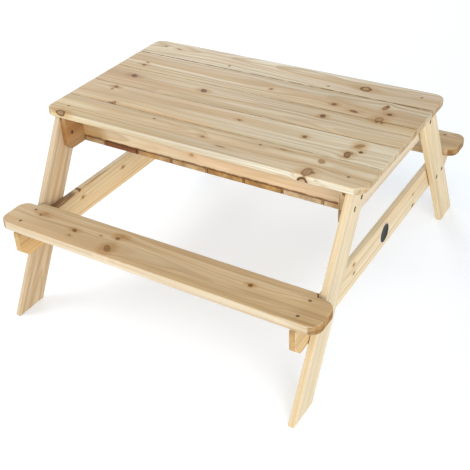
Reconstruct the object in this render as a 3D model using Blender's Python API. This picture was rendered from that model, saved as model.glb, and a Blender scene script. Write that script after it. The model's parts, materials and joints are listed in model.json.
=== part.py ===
"""Picnic table with a sandbox under its lift-out middle boards.

Metres, +Z up. The origin is on the floor under the middle of the table. X runs along the table, and the
two seats lie at -Y (front) and +Y (back). Run it with blender --background --python part.py.
"""

import math

import bmesh
import bpy
from mathutils import Euler, Matrix, Vector

# Fits that all pieces share
TOUCH_GAP = 0.0003
CUT_OVERRUN = 0.010
EDGE_ROUND = 0.0015
ROUND_STEPS = 3

# Tabletop: two fixed outer boards and three boards of the lid
TABLE_HEIGHT = 0.492
TOP_LENGTH = 0.900
TOP_THICKNESS = 0.018
OUTER_BOARD_WIDTH = 0.100
LID_BOARD_WIDTH = 0.1065
LID_BOARD_COUNT = 3
BOARD_GAP = 0.001
TOP_CORNER_RADIUS = 0.030
TOP_EDGE_ROUND = 0.0025
CORNER_STEPS = 12

# Lid battens, just inside the end rails
BATTEN_THICKNESS = 0.016
BATTEN_WIDTH = 0.040
BATTEN_END_CLEARANCE = 0.003

# Legs: flat boards that lean inwards, on the outside of the rails and beams
LEG_THICKNESS = 0.016
LEG_WIDTH = 0.080
LEG_SPLAY_DEG = 30.0
LEG_TOP_SETBACK = 0.00875
LEG_END_SETBACK = 0.028

# Sandbox: end rails, long rails and floor slats. The seat beams are as thick as the rails
RAIL_THICKNESS = 0.016
LONG_RAIL_HEIGHT = 0.080
LONG_RAIL_COVER = 0.012
END_RAIL_SETBACK = 0.006
END_RAIL_CHAMFER = 0.014
SLAT_THICKNESS = 0.016
SLAT_GAP = 0.001
FULL_SLAT_COUNT = 6
NARROW_SLAT_SHARE = 0.635

# Seats and the two beams that carry them
SEAT_TOP_HEIGHT = 0.274
SEAT_THICKNESS = 0.024
SEAT_END_OVERHANG = 0.005
SEAT_REACH = 0.103
SEAT_LAP = 0.012
SEAT_CORNER_RADIUS = 0.030
SEAT_LEG_CLEARANCE = 0.002
BEAM_HEIGHT = 0.080
BEAM_OVERHANG = 0.003
BEAM_CHAMFER = 0.025

# Bolts through the legs: a head sunk in a round pocket, and a low nut inside
POCKET_RADIUS = 0.0062
POCKET_DEPTH = 0.0045
BOLT_HEAD_RADIUS = 0.0050
BOLT_HEAD_HEIGHT = 0.0032
BOLT_DRIVE_RADIUS = 0.0022
BOLT_DRIVE_DEPTH = 0.0018
BOLT_SHANK_RADIUS = 0.0025
NUT_RADIUS = 0.0050
NUT_HEIGHT = 0.0025
BOLT_EDGE = 0.0007

# Countersunk screws of the seats and of the tabletop
SEAT_SCREW_HEAD_RADIUS = 0.0042
SEAT_SCREW_SHANK_RADIUS = 0.0022
SEAT_SCREW_LENGTH = 0.045
TOP_SCREW_HEAD_RADIUS = 0.0036
TOP_SCREW_SHANK_RADIUS = 0.0019
TOP_SCREW_LENGTH = 0.038
SCREW_RIM = 0.0005
SCREW_TIP = 0.004
SCREW_SINK = 0.0006
TURNED_STEPS = 16

# Places of the fixings as shares of the pieces that carry them
TOP_BOLT_SHARES = ((0.87, 0.61), (0.49, 0.48))
BEAM_BOLT_SHARES = ((0.71, 0.40), (0.24, 0.48))
SEAT_SCREW_SHARES = (0.20, 0.71)
END_SCREW_SHARE = 0.39
MIDDLE_SCREW_SHARE = 0.17

# Heights, faces and lengths worked out from the sizes above
SPLAY = math.tan(math.radians(LEG_SPLAY_DEG))
LEG_CUT_WIDTH = LEG_WIDTH / math.cos(math.radians(LEG_SPLAY_DEG))
TOP_UNDERSIDE = TABLE_HEIGHT - TOP_THICKNESS
FRAME_TOP = TOP_UNDERSIDE - TOUCH_GAP
LID_DEPTH = LID_BOARD_COUNT * (LID_BOARD_WIDTH + BOARD_GAP) - BOARD_GAP
FIXED_BOARD_EDGE = LID_DEPTH / 2 + BOARD_GAP
TOP_DEPTH = 2 * (FIXED_BOARD_EDGE + OUTER_BOARD_WIDTH)
FEET_DEPTH = TOP_DEPTH + 2 * (FRAME_TOP * SPLAY - LEG_TOP_SETBACK)
LEG_OUTER_FACE = TOP_LENGTH / 2 - LEG_END_SETBACK
LEG_INNER_FACE = LEG_OUTER_FACE - LEG_THICKNESS
RAIL_OUTER_FACE = LEG_INNER_FACE - TOUCH_GAP
RAIL_INNER_FACE = RAIL_OUTER_FACE - RAIL_THICKNESS
RAIL_MIDDLE = RAIL_OUTER_FACE - RAIL_THICKNESS / 2
LONG_RAIL_FACE = FIXED_BOARD_EDGE + LONG_RAIL_COVER + RAIL_THICKNESS
LONG_RAIL_MIDDLE = LONG_RAIL_FACE - RAIL_THICKNESS / 2
LONG_RAIL_BOTTOM = FRAME_TOP - LONG_RAIL_HEIGHT
SLAT_TOP = LONG_RAIL_BOTTOM - TOUCH_GAP
SLAT_BOTTOM = SLAT_TOP - SLAT_THICKNESS
END_RAIL_HEIGHT = FRAME_TOP - SLAT_BOTTOM
SEAT_LENGTH = TOP_LENGTH + 2 * SEAT_END_OVERHANG
SEAT_WIDTH = SEAT_REACH + SEAT_LAP
SEAT_UNDERSIDE = SEAT_TOP_HEIGHT - SEAT_THICKNESS
SEATS_DEPTH = FEET_DEPTH + 2 * (SEAT_REACH - SEAT_UNDERSIDE * SPLAY)
BEAM_TOP = SEAT_UNDERSIDE - TOUCH_GAP
BEAM_BOTTOM = BEAM_TOP - BEAM_HEIGHT

# Turns that stand a flat board up across the table (X) or along it (Y)
FLAT = Euler((0, 0, 0))
HALF_TURN = Euler((0, 0, math.radians(180)))
ACROSS = Euler((math.radians(90), 0, math.radians(90)))
ALONG = Euler((math.radians(90), 0, 0))

WOODS = {
    "top_wood": (0.80, 0.66, 0.49),
    "lid_wood": (0.81, 0.68, 0.51),
    "seat_wood": (0.74, 0.60, 0.43),
    "leg_wood": (0.84, 0.72, 0.54),
    "beam_wood": (0.80, 0.67, 0.49),
    "rail_wood": (0.76, 0.58, 0.38),
    "floor_wood": (0.70, 0.50, 0.31),
    "batten_wood": (0.78, 0.64, 0.46),
}


def remove_everything():
    """Empty the scene without closing the file."""
    for obj in list(bpy.data.objects):
        bpy.data.objects.remove(obj)


def make_material(name, colour, roughness, metallic):
    """One Principled BSDF material."""
    material = bpy.data.materials.new(name)
    material.use_nodes = True
    shader = material.node_tree.nodes["Principled BSDF"]
    shader.inputs["Base Color"].default_value = (*colour, 1)
    shader.inputs["Roughness"].default_value = roughness
    shader.inputs["Metallic"].default_value = metallic
    return material


def add_object(name, mesh, material):
    """Link a mesh as a named object with its material."""
    obj = bpy.data.objects.new(name, mesh)
    bpy.context.scene.collection.objects.link(obj)
    obj.data.materials.append(material)
    return obj


def rounded_outline(corners):
    """Points of an anticlockwise outline whose corners (x, y, radius) turn in quarter arcs."""
    points = []
    count = len(corners)
    for i, (x, y, radius) in enumerate(corners):
        here = Vector((x, y))
        if not radius:
            points.append(here)
            continue
        before = (Vector(corners[i - 1][:2]) - here).normalized()
        after = (Vector(corners[(i + 1) % count][:2]) - here).normalized()
        centre = here + (before + after) * radius
        for step in range(CORNER_STEPS + 1):
            turn = math.radians(90) * step / CORNER_STEPS
            points.append(centre - after * radius * math.cos(turn) - before * radius * math.sin(turn))
    return points


def extrude_outline(outline, thickness):
    """A closed mesh of the outline's shape in XY, from z 0 up to the thickness."""
    form = bmesh.new()
    face = form.faces.new([form.verts.new((x, y, 0)) for x, y in outline])
    raised = bmesh.ops.extrude_face_region(form, geom=[face])
    moved = [item for item in raised["geom"] if isinstance(item, bmesh.types.BMVert)]
    bmesh.ops.translate(form, verts=moved, vec=(0, 0, thickness))
    bmesh.ops.recalc_face_normals(form, faces=form.faces)
    mesh = bpy.data.meshes.new("board")
    form.to_mesh(mesh)
    form.free()
    return mesh


def board(name, outline, thickness, material, place, turn=FLAT, edge=EDGE_ROUND):
    """A board with eased edges, at its place and turn."""
    obj = add_object(name, extrude_outline(outline, thickness), material)
    obj.location = place
    obj.rotation_euler = turn
    easing = obj.modifiers.new("eased_edges", "BEVEL")
    easing.width = edge
    easing.segments = ROUND_STEPS
    easing.limit_method = "ANGLE"
    return obj


def rectangle(length, width):
    """Outline of a rectangle about its middle."""
    x = length / 2
    y = width / 2
    return [(-x, -y), (x, -y), (x, y), (-x, y)]


def spin_profile(form, profile, turn):
    """Add a closed turned solid to the form, from (radius, z) pairs that start and end on the axis."""
    rings = []
    for radius, z in profile:
        if not radius:
            rings.append([form.verts.new(turn @ Vector((0, 0, z)))])
            continue
        angles = [math.tau * i / TURNED_STEPS for i in range(TURNED_STEPS)]
        points = [turn @ Vector((radius * math.cos(a), radius * math.sin(a), z)) for a in angles]
        rings.append([form.verts.new(point) for point in points])
    for upper, lower in zip(rings, rings[1:]):
        for i in range(TURNED_STEPS):
            j = (i + 1) % TURNED_STEPS
            left = (upper[i % len(upper)], lower[i % len(lower)])
            right = (lower[j % len(lower)], upper[j % len(upper)])
            form.faces.new(list(dict.fromkeys(left + right)))


def turned_mesh(profile):
    """A mesh of one turned solid about local Z."""
    form = bmesh.new()
    spin_profile(form, profile, Matrix.Identity(4))
    bmesh.ops.recalc_face_normals(form, faces=form.faces)
    mesh = bpy.data.meshes.new("turned")
    form.to_mesh(mesh)
    form.free()
    for face in mesh.polygons:
        face.use_smooth = True
    mesh.set_sharp_from_angle(angle=math.radians(35))
    return mesh


def bolt_profile():
    """A leg bolt and its nut. z 0 is the leg's outer face, and the bolt points down."""
    head_bottom = -POCKET_DEPTH + TOUCH_GAP
    head_top = head_bottom + BOLT_HEAD_HEIGHT
    nut_top = -LEG_THICKNESS - TOUCH_GAP - RAIL_THICKNESS - TOUCH_GAP
    nut_bottom = nut_top - NUT_HEIGHT
    return [
        (0, head_top - BOLT_DRIVE_DEPTH),
        (BOLT_DRIVE_RADIUS, head_top - BOLT_DRIVE_DEPTH),
        (BOLT_DRIVE_RADIUS, head_top),
        (BOLT_HEAD_RADIUS - BOLT_EDGE, head_top),
        (BOLT_HEAD_RADIUS, head_top - BOLT_EDGE),
        (BOLT_HEAD_RADIUS, head_bottom),
        (BOLT_SHANK_RADIUS, head_bottom),
        (BOLT_SHANK_RADIUS, nut_top),
        (NUT_RADIUS, nut_top),
        (NUT_RADIUS, nut_bottom + BOLT_EDGE),
        (NUT_RADIUS - BOLT_EDGE, nut_bottom),
        (0, nut_bottom),
    ]


def bolt_hole_profile():
    """What a leg bolt needs cut: its pocket, and its clearance hole right through."""
    hole = BOLT_SHANK_RADIUS + TOUCH_GAP
    end = -LEG_THICKNESS - RAIL_THICKNESS - CUT_OVERRUN
    return [
        (0, CUT_OVERRUN),
        (POCKET_RADIUS, CUT_OVERRUN),
        (POCKET_RADIUS, -POCKET_DEPTH),
        (hole, -POCKET_DEPTH),
        (hole, end),
        (0, end),
    ]


def screw_profile(head, shank, length):
    """A countersunk screw. z 0 is the board's face, and the head is sunk a little under it."""
    return [
        (0, -SCREW_SINK),
        (head, -SCREW_SINK),
        (head, -SCREW_SINK - SCREW_RIM),
        (shank, -SCREW_SINK - SCREW_RIM - (head - shank)),
        (shank, -length + SCREW_TIP),
        (0, -length),
    ]


def screw_hole_profile(head, shank, length):
    """What a countersunk screw needs cut, with the touch gap all round."""
    mouth = head + TOUCH_GAP
    hole = shank + TOUCH_GAP
    seat = -SCREW_SINK - SCREW_RIM - TOUCH_GAP
    end = -length - TOUCH_GAP
    return [
        (0, CUT_OVERRUN),
        (mouth, CUT_OVERRUN),
        (mouth, seat),
        (hole, seat - (mouth - hole)),
        (hole, end),
        (0, end),
    ]


class Fixing:
    """A bolt or screw: its name, its head's place and turn, its kind and the boards it goes through."""

    def __init__(self, name, place, turn, kind, boards):
        self.name = name
        self.turn = Matrix.Translation(place) @ turn.to_matrix().to_4x4()
        self.kind = kind
        self.boards = boards


def drill(boards, fixings, hole_profiles):
    """Cut every board's holes with one cutter mesh for each board."""
    for name, obj in boards.items():
        through = [fixing for fixing in fixings if name in fixing.boards]
        if not through:
            continue
        form = bmesh.new()
        for fixing in through:
            spin_profile(form, hole_profiles[fixing.kind], fixing.turn)
        bmesh.ops.recalc_face_normals(form, faces=form.faces)
        mesh = bpy.data.meshes.new(name + "_holes")
        form.to_mesh(mesh)
        form.free()
        cutter = bpy.data.objects.new(name + "_holes", mesh)
        bpy.context.scene.collection.objects.link(cutter)
        cutter.hide_render = True
        cutter.display_type = "WIRE"
        holes = obj.modifiers.new("holes", "BOOLEAN")
        holes.operation = "DIFFERENCE"
        holes.solver = "EXACT"
        holes.object = cutter


def make_top(boards, woods):
    """The two fixed outer boards, each with its two outer corners rounded."""
    half_length = TOP_LENGTH / 2
    half_width = OUTER_BOARD_WIDTH / 2
    radius = TOP_CORNER_RADIUS
    corners = [
        (-half_length, -half_width, radius),
        (half_length, -half_width, radius),
        (half_length, half_width, 0),
        (-half_length, half_width, 0),
    ]
    y = TOP_DEPTH / 2 - half_width
    outline = rounded_outline(corners)
    for name, side, turn in (("top_board_front", -1, FLAT), ("top_board_back", 1, HALF_TURN)):
        place = (0, side * y, TOP_UNDERSIDE)
        boards[name] = board(name, outline, TOP_THICKNESS, woods["top_wood"], place, turn, TOP_EDGE_ROUND)


def make_lid(boards, woods):
    """The lift-out lid: three boards on two battens, all parented to an empty on the lid's lifting axis."""
    lift = bpy.data.objects.new("lid_lift_axis", None)
    lift.location = (0, 0, TOP_UNDERSIDE)
    bpy.context.scene.collection.objects.link(lift)
    pitch = LID_BOARD_WIDTH + BOARD_GAP
    middle = (LID_BOARD_COUNT - 1) / 2
    for i in range(LID_BOARD_COUNT):
        name = f"lid_board_{i + 1}"
        outline = rectangle(TOP_LENGTH, LID_BOARD_WIDTH)
        place = (0, (i - middle) * pitch, 0)
        boards[name] = board(name, outline, TOP_THICKNESS, woods["lid_wood"], place, FLAT, TOP_EDGE_ROUND)
        boards[name].parent = lift
    x = RAIL_INNER_FACE - BATTEN_END_CLEARANCE - BATTEN_WIDTH / 2
    for side_name, side in (("left", -1), ("right", 1)):
        name = "lid_batten_" + side_name
        outline = rectangle(BATTEN_WIDTH, LID_DEPTH)
        place = (side * x, 0, -TOUCH_GAP - BATTEN_THICKNESS)
        boards[name] = board(name, outline, BATTEN_THICKNESS, woods["batten_wood"], place)
        boards[name].parent = lift


def leg_front_edge(z):
    """How far the leg's outer edge is from the middle of the table at height z."""
    return FEET_DEPTH / 2 - z * SPLAY


def make_legs(boards, woods):
    """Four leaning legs, cut level at the floor and under the tabletop."""
    lean = FRAME_TOP * SPLAY
    front = [(0, 0), (LEG_CUT_WIDTH, 0), (LEG_CUT_WIDTH + lean, FRAME_TOP), (lean, FRAME_TOP)]
    back = [(-y, z) for y, z in reversed(front)]
    for side_name, x in (("left", -LEG_OUTER_FACE), ("right", LEG_INNER_FACE)):
        for end_name, side, outline in (("front", -1, front), ("back", 1, back)):
            name = f"leg_{end_name}_{side_name}"
            place = (x, side * FEET_DEPTH / 2, 0)
            boards[name] = board(name, outline, LEG_THICKNESS, woods["leg_wood"], place, ACROSS)


def chamfered_rail(length, height, chamfer):
    """Outline of a rail that stands on edge, with its two lower corners cut off."""
    half = length / 2
    return [
        (-half + chamfer, 0),
        (half - chamfer, 0),
        (half, chamfer),
        (half, height),
        (-half, height),
        (-half, chamfer),
    ]


def make_sandbox(boards, woods):
    """The sandbox: end rails under the tabletop's ends, long rails between them, and the floor slats."""
    end_outline = chamfered_rail(TOP_DEPTH - 2 * END_RAIL_SETBACK, END_RAIL_HEIGHT, END_RAIL_CHAMFER)
    for side_name, x in (("left", -RAIL_OUTER_FACE), ("right", RAIL_INNER_FACE)):
        name = "end_rail_" + side_name
        place = (x, 0, SLAT_BOTTOM)
        boards[name] = board(name, end_outline, RAIL_THICKNESS, woods["rail_wood"], place, ACROSS)
    long_outline = rectangle(2 * (RAIL_INNER_FACE - TOUCH_GAP), LONG_RAIL_HEIGHT)
    for side_name, y in (("front", -LONG_RAIL_FACE + RAIL_THICKNESS), ("back", LONG_RAIL_FACE)):
        name = "long_rail_" + side_name
        place = (0, y, FRAME_TOP - LONG_RAIL_HEIGHT / 2)
        boards[name] = board(name, long_outline, RAIL_THICKNESS, woods["rail_wood"], place, ALONG)
    make_floor(boards, woods)


def make_floor(boards, woods):
    """Floor slats under the long rails, filling the box: full ones and a narrow one at each end."""
    room = 2 * RAIL_INNER_FACE - (FULL_SLAT_COUNT + 3) * SLAT_GAP
    full_width = room / (FULL_SLAT_COUNT + 2 * NARROW_SLAT_SHARE)
    narrow_width = full_width * NARROW_SLAT_SHARE
    narrow_middle = RAIL_INNER_FACE - SLAT_GAP - narrow_width / 2
    middle = (FULL_SLAT_COUNT - 1) / 2
    slats = [(-narrow_middle, narrow_width)]
    slats += [((i - middle) * (full_width + SLAT_GAP), full_width) for i in range(FULL_SLAT_COUNT)]
    slats += [(narrow_middle, narrow_width)]
    for number, (x, width) in enumerate(slats, 1):
        name = f"floor_slat_{number}"
        outline = rectangle(width, 2 * LONG_RAIL_FACE)
        boards[name] = board(name, outline, SLAT_THICKNESS, woods["floor_wood"], (x, 0, SLAT_BOTTOM))


def seat_outline():
    """The front seat's outline about its own middle, stepped back at both ends to pass the legs."""
    half_length = SEAT_LENGTH / 2
    half_width = SEAT_WIDTH / 2
    seat_middle = (SEATS_DEPTH - SEAT_WIDTH) / 2
    step_y = seat_middle - leg_front_edge(SEAT_UNDERSIDE) - SEAT_LEG_CLEARANCE
    step_x = LEG_INNER_FACE - SEAT_LEG_CLEARANCE
    radius = SEAT_CORNER_RADIUS
    return rounded_outline([
        (-half_length, -half_width, radius),
        (half_length, -half_width, radius),
        (half_length, step_y, radius),
        (step_x, step_y, 0),
        (step_x, half_width, 0),
        (-step_x, half_width, 0),
        (-step_x, step_y, 0),
        (-half_length, step_y, radius),
    ])


def make_seats(boards, woods):
    """Two seats, and the two beams under their ends."""
    y = (SEATS_DEPTH - SEAT_WIDTH) / 2
    outline = seat_outline()
    for name, side, turn in (("seat_front", -1, FLAT), ("seat_back", 1, HALF_TURN)):
        place = (0, side * y, SEAT_UNDERSIDE)
        boards[name] = board(name, outline, SEAT_THICKNESS, woods["seat_wood"], place, turn, TOP_EDGE_ROUND)
    outline = chamfered_rail(SEATS_DEPTH + 2 * BEAM_OVERHANG, BEAM_HEIGHT, BEAM_CHAMFER)
    for side_name, x in (("left", -RAIL_OUTER_FACE), ("right", RAIL_INNER_FACE)):
        name = "seat_beam_" + side_name
        boards[name] = board(name, outline, RAIL_THICKNESS, woods["beam_wood"], (x, 0, BEAM_BOTTOM), ACROSS)


def bolt_room(joint, z):
    """Width of leg that a bolt can use at height z: at the top it stays outside the long rail."""
    if joint == "beam":
        return LEG_CUT_WIDTH
    return min(LEG_CUT_WIDTH, leg_front_edge(z) - LONG_RAIL_FACE)


def leg_bolts():
    """Two bolts at the top of each leg and two at its seat beam."""
    joints = (
        ("top", TOP_BOLT_SHARES, SLAT_BOTTOM, END_RAIL_HEIGHT, "end_rail_"),
        ("beam", BEAM_BOLT_SHARES, BEAM_BOTTOM, BEAM_HEIGHT, "seat_beam_"),
    )
    found = []
    for side_name, x_side in (("left", -1), ("right", 1)):
        outwards = Euler((0, x_side * math.radians(90), 0))
        for end_name, y_side in (("front", -1), ("back", 1)):
            for joint, shares, bottom, height, rail in joints:
                for number, (across, up) in enumerate(shares, 1):
                    z = bottom + up * height
                    y = leg_front_edge(z) - across * bolt_room(joint, z)
                    name = f"{joint}_bolt_{end_name}_{side_name}_{number}"
                    place = Vector((x_side * LEG_OUTER_FACE, y_side * y, z))
                    held = (f"leg_{end_name}_{side_name}", rail + side_name)
                    found.append(Fixing(name, place, outwards, "bolt", held))
    return found


def seat_screws():
    """Two screws at each end of each seat, down into the beams."""
    found = []
    for end_name, y_side in (("front", -1), ("back", 1)):
        for side_name, x_side in (("left", -1), ("right", 1)):
            for number, share in enumerate(SEAT_SCREW_SHARES, 1):
                y = SEATS_DEPTH / 2 - share * SEAT_WIDTH
                name = f"seat_screw_{end_name}_{side_name}_{number}"
                place = Vector((x_side * RAIL_MIDDLE, y_side * y, SEAT_TOP_HEIGHT))
                held = ("seat_" + end_name, "seat_beam_" + side_name)
                found.append(Fixing(name, place, FLAT, "seat_screw", held))
    return found


def top_screws():
    """Screws of the fixed boards: one over each end rail and two over the long rail."""
    found = []
    end_y = TOP_DEPTH / 2 - END_SCREW_SHARE * OUTER_BOARD_WIDTH
    for end_name, y_side in (("front", -1), ("back", 1)):
        for side_name, x_side in (("left", -1), ("right", 1)):
            top = "top_board_" + end_name
            place = Vector((x_side * RAIL_MIDDLE, y_side * end_y, TABLE_HEIGHT))
            name = f"top_end_screw_{end_name}_{side_name}"
            found.append(Fixing(name, place, FLAT, "top_screw", (top, "end_rail_" + side_name)))
            middle_x = MIDDLE_SCREW_SHARE * TOP_LENGTH
            place = Vector((x_side * middle_x, y_side * LONG_RAIL_MIDDLE, TABLE_HEIGHT))
            name = f"top_rail_screw_{end_name}_{side_name}"
            found.append(Fixing(name, place, FLAT, "top_screw", (top, "long_rail_" + end_name)))
    return found


def make_fixings(fixings, profiles, steel):
    """One object for each bolt and screw."""
    meshes = {kind: turned_mesh(profile) for kind, profile in profiles.items()}
    for fixing in fixings:
        obj = add_object(fixing.name, meshes[fixing.kind].copy(), steel)
        obj.location = fixing.turn.to_translation()
        obj.rotation_euler = fixing.turn.to_euler()


def main():
    remove_everything()
    woods = {name: make_material(name, colour, 0.6, 0) for name, colour in WOODS.items()}
    steel = make_material("fixing_steel", (0.42, 0.37, 0.31), 0.45, 0.9)
    boards = {}
    make_top(boards, woods)
    make_lid(boards, woods)
    make_legs(boards, woods)
    make_sandbox(boards, woods)
    make_seats(boards, woods)
    seat_screw = (SEAT_SCREW_HEAD_RADIUS, SEAT_SCREW_SHANK_RADIUS, SEAT_SCREW_LENGTH)
    top_screw = (TOP_SCREW_HEAD_RADIUS, TOP_SCREW_SHANK_RADIUS, TOP_SCREW_LENGTH)
    solids = {
        "bolt": bolt_profile(),
        "seat_screw": screw_profile(*seat_screw),
        "top_screw": screw_profile(*top_screw),
    }
    holes = {
        "bolt": bolt_hole_profile(),
        "seat_screw": screw_hole_profile(*seat_screw),
        "top_screw": screw_hole_profile(*top_screw),
    }
    fixings = leg_bolts() + seat_screws() + top_screws()
    bpy.context.view_layer.update()
    drill(boards, fixings, holes)
    make_fixings(fixings, solids, steel)
    print(f"{len(boards)} boards and {len(fixings)} fixings")


main()
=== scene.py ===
# %% [markdown]
# A children's picnic table, with two seats and a sandbox under its tabletop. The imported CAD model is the
# frame: it says where every board and screw is. This file gives each board its finish and its small shapes.
# It could paint the CAD boards as they are, but their edges are flat facets, so each board is modelled
# again over its CAD node, with eased edges that shade smoothly.

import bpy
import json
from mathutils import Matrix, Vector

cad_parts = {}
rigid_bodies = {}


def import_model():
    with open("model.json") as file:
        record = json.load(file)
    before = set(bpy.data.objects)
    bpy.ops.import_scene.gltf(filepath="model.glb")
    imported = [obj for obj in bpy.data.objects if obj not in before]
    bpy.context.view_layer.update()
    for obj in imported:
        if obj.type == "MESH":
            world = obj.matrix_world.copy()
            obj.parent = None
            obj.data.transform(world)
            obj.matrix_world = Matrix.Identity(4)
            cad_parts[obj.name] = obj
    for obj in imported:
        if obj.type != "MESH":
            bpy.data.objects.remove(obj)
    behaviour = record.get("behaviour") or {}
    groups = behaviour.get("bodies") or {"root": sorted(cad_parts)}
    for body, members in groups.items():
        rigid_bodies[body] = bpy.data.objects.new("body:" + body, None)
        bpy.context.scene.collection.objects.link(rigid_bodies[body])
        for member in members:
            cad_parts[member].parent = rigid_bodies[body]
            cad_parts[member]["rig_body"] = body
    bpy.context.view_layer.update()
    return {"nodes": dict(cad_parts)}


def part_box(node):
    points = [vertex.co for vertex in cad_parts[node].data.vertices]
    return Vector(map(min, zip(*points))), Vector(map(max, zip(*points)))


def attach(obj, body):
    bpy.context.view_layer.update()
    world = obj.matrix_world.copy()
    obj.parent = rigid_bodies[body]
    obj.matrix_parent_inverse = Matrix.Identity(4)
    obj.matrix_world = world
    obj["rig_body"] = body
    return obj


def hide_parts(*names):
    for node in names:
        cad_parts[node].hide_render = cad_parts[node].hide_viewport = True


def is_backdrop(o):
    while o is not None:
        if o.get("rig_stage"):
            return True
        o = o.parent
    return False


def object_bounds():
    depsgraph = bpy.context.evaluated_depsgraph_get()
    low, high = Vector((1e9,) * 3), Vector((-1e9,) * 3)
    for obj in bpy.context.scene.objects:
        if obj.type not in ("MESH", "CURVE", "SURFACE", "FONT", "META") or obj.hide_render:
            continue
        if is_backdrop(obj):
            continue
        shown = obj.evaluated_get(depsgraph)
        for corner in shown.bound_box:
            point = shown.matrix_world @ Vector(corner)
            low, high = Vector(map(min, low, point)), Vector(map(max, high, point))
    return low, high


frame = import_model()
nodes = frame["nodes"]

# %% [markdown]
# The camera stands where the photographer stood, to the right of the table's front and above it. Its place
# was worked out from the corners of the boards. It could be aimed by an empty, but three plain angles are
# easier to check against the photo.

# %% Camera
import json
import math
import random
from dataclasses import dataclass

import bmesh
import bpy
from mathutils import Matrix, Vector

PHOTO_SIDE = 470
CAMERA_PLACE = (1.0353, -1.6994, 1.4427)
CAMERA_AZIMUTH = 32.453
CAMERA_DOWN = 34.465
CAMERA_ROLL = -2.675
FOCAL_PIXELS = 844.3
SENSOR = 36.0

scene = bpy.context.scene
camera_data = bpy.data.cameras.new("camera")
camera_data.sensor_width = SENSOR
camera_data.lens = FOCAL_PIXELS * SENSOR / PHOTO_SIDE
camera = bpy.data.objects.new("camera", camera_data)
scene.collection.objects.link(camera)
camera.location = CAMERA_PLACE
turn = Matrix.Rotation(math.radians(CAMERA_AZIMUTH), 3, "Z")
tilt = Matrix.Rotation(math.radians(90 - CAMERA_DOWN), 3, "X")
roll = Matrix.Rotation(math.radians(CAMERA_ROLL), 3, "Z")
camera.rotation_euler = (turn @ tilt @ roll).to_euler()
bpy.context.scene.camera = camera
print("camera lens", round(camera_data.lens, 1), "mm")

# %% [markdown]
# The photo is a studio shot on white. The floor is a wide pale sheet that glows a little, like a light
# table, so only soft shadows show on it. A bright world lights the table from all round, and big soft lamps
# stand low at its sides, because in the photo the upright faces of the boards are brighter than the
# tabletop.

# %% Floor, world and lamps
FLOOR_RADIUS = 30.0
FLOOR_LOOK = {
    "Base Color": (0.89, 0.91, 0.925, 1), "Roughness": 0.9, "Specular IOR Level": 0.1,
    "Emission Color": (0.74, 0.91, 1.12, 1), "Emission Strength": 0.2,
}
WORLD_LOOK = {"Color": (1.0, 1.0, 1.0, 1), "Strength": 0.59}
LAMPS = {
    "right_lamp": {"place": (3.0, -2.2, 1.5), "power": 62},
    "right_front_lamp": {"place": (1.6, -3.4, 1.2), "power": 48},
    "left_lamp": {"place": (-3.2, -1.6, 1.8), "power": 66},
    "back_left_lamp": {"place": (-2.6, 3.1, 1.9), "power": 48},
}
LAMP_SIDE = 2.4
LAMP_AIM = Vector((0, 0, 0.3))

scene.view_settings.view_transform = "Standard"
world = bpy.data.worlds.new("white_studio")
world.use_nodes = True
for socket, value in WORLD_LOOK.items():
    world.node_tree.nodes["Background"].inputs[socket].default_value = value
scene.world = world

bpy.ops.object.select_all(action="DESELECT")
bpy.ops.mesh.primitive_circle_add(vertices=64, radius=FLOOR_RADIUS, fill_type="NGON")
floor = bpy.context.object
floor.name = "studio_floor"
floor_paint = bpy.data.materials.new("studio_white")
floor_paint.use_nodes = True
for socket, value in FLOOR_LOOK.items():
    floor_paint.node_tree.nodes["Principled BSDF"].inputs[socket].default_value = value
floor.data.materials.append(floor_paint)
floor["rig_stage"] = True

for name, setting in LAMPS.items():
    lamp_data = bpy.data.lights.new(name, "AREA")
    lamp_data.shape = "SQUARE"
    lamp_data.size = LAMP_SIDE
    lamp_data.energy = setting["power"]
    lamp = bpy.data.objects.new(name, lamp_data)
    lamp.location = setting["place"]
    lamp.rotation_euler = (LAMP_AIM - lamp.location).to_track_quat("-Z", "Y").to_euler()
    lamp.visible_camera = False
    scene.collection.objects.link(lamp)
print(len(LAMPS), "lamps")

# %% [markdown]
# The boards are pale, untreated fir. Its look comes from the tree: yearly rings, each fading from pale early
# wood into a tan late line, which a board shows as long stripes, and as arcs on its ends. An image could be
# laid on, but then face, edge and end wouldn't meet. So the rings are drawn in three dimensions, as distance
# from the tree's middle, and the board is cut out of them. Linking such a drawing node by node takes three
# lines a node, so a few helpers make it one.

# %% Nodes and sums
ORIGIN = (0.0, 0.0, 0.0)


def plug(tree, socket, value):
    """Links an output to a socket, or sets the socket's own value."""
    if isinstance(value, bpy.types.NodeSocket):
        tree.links.new(value, socket)
    else:
        socket.default_value = value


def node(tree, kind, inputs, **settings):
    """Adds a node, sets what it says about itself, and fills its inputs by number or name."""
    made = tree.nodes.new(kind)
    for key, value in settings.items():
        setattr(made, key, value)
    for key, value in inputs.items():
        plug(tree, made.inputs[key], value)
    return made


def maths(tree, operation, *values):
    return node(tree, "ShaderNodeMath", dict(enumerate(values)), operation=operation).outputs[0]


def times(tree, product, *values):
    """The product of all the values."""
    for value in values:
        product = maths(tree, "MULTIPLY", product, value)
    return product


def scaled(tree, value, factor, shift):
    """The value times a factor, plus a shift."""
    return maths(tree, "MULTIPLY_ADD", value, factor, shift)


def larger(tree, first, second):
    return maths(tree, "MAXIMUM", first, second)


def between(tree, value, start, end):
    """0 before start, 1 after end, smooth between. End may be the lower one."""
    inputs = {"Value": value, "From Min": start, "From Max": end}
    made = node(tree, "ShaderNodeMapRange", inputs, interpolation_type="SMOOTHSTEP")
    return made.outputs["Result"]


print("sums: times, scaled, larger and between")

# %% [markdown]
# A place in the wood is a vector. Stretching it before noise reads it draws the noise out along the grain,
# as wood is. Noise could be mapped on each face, but one read in three dimensions runs on round the edges.

# %% Vectors and noise


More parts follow.
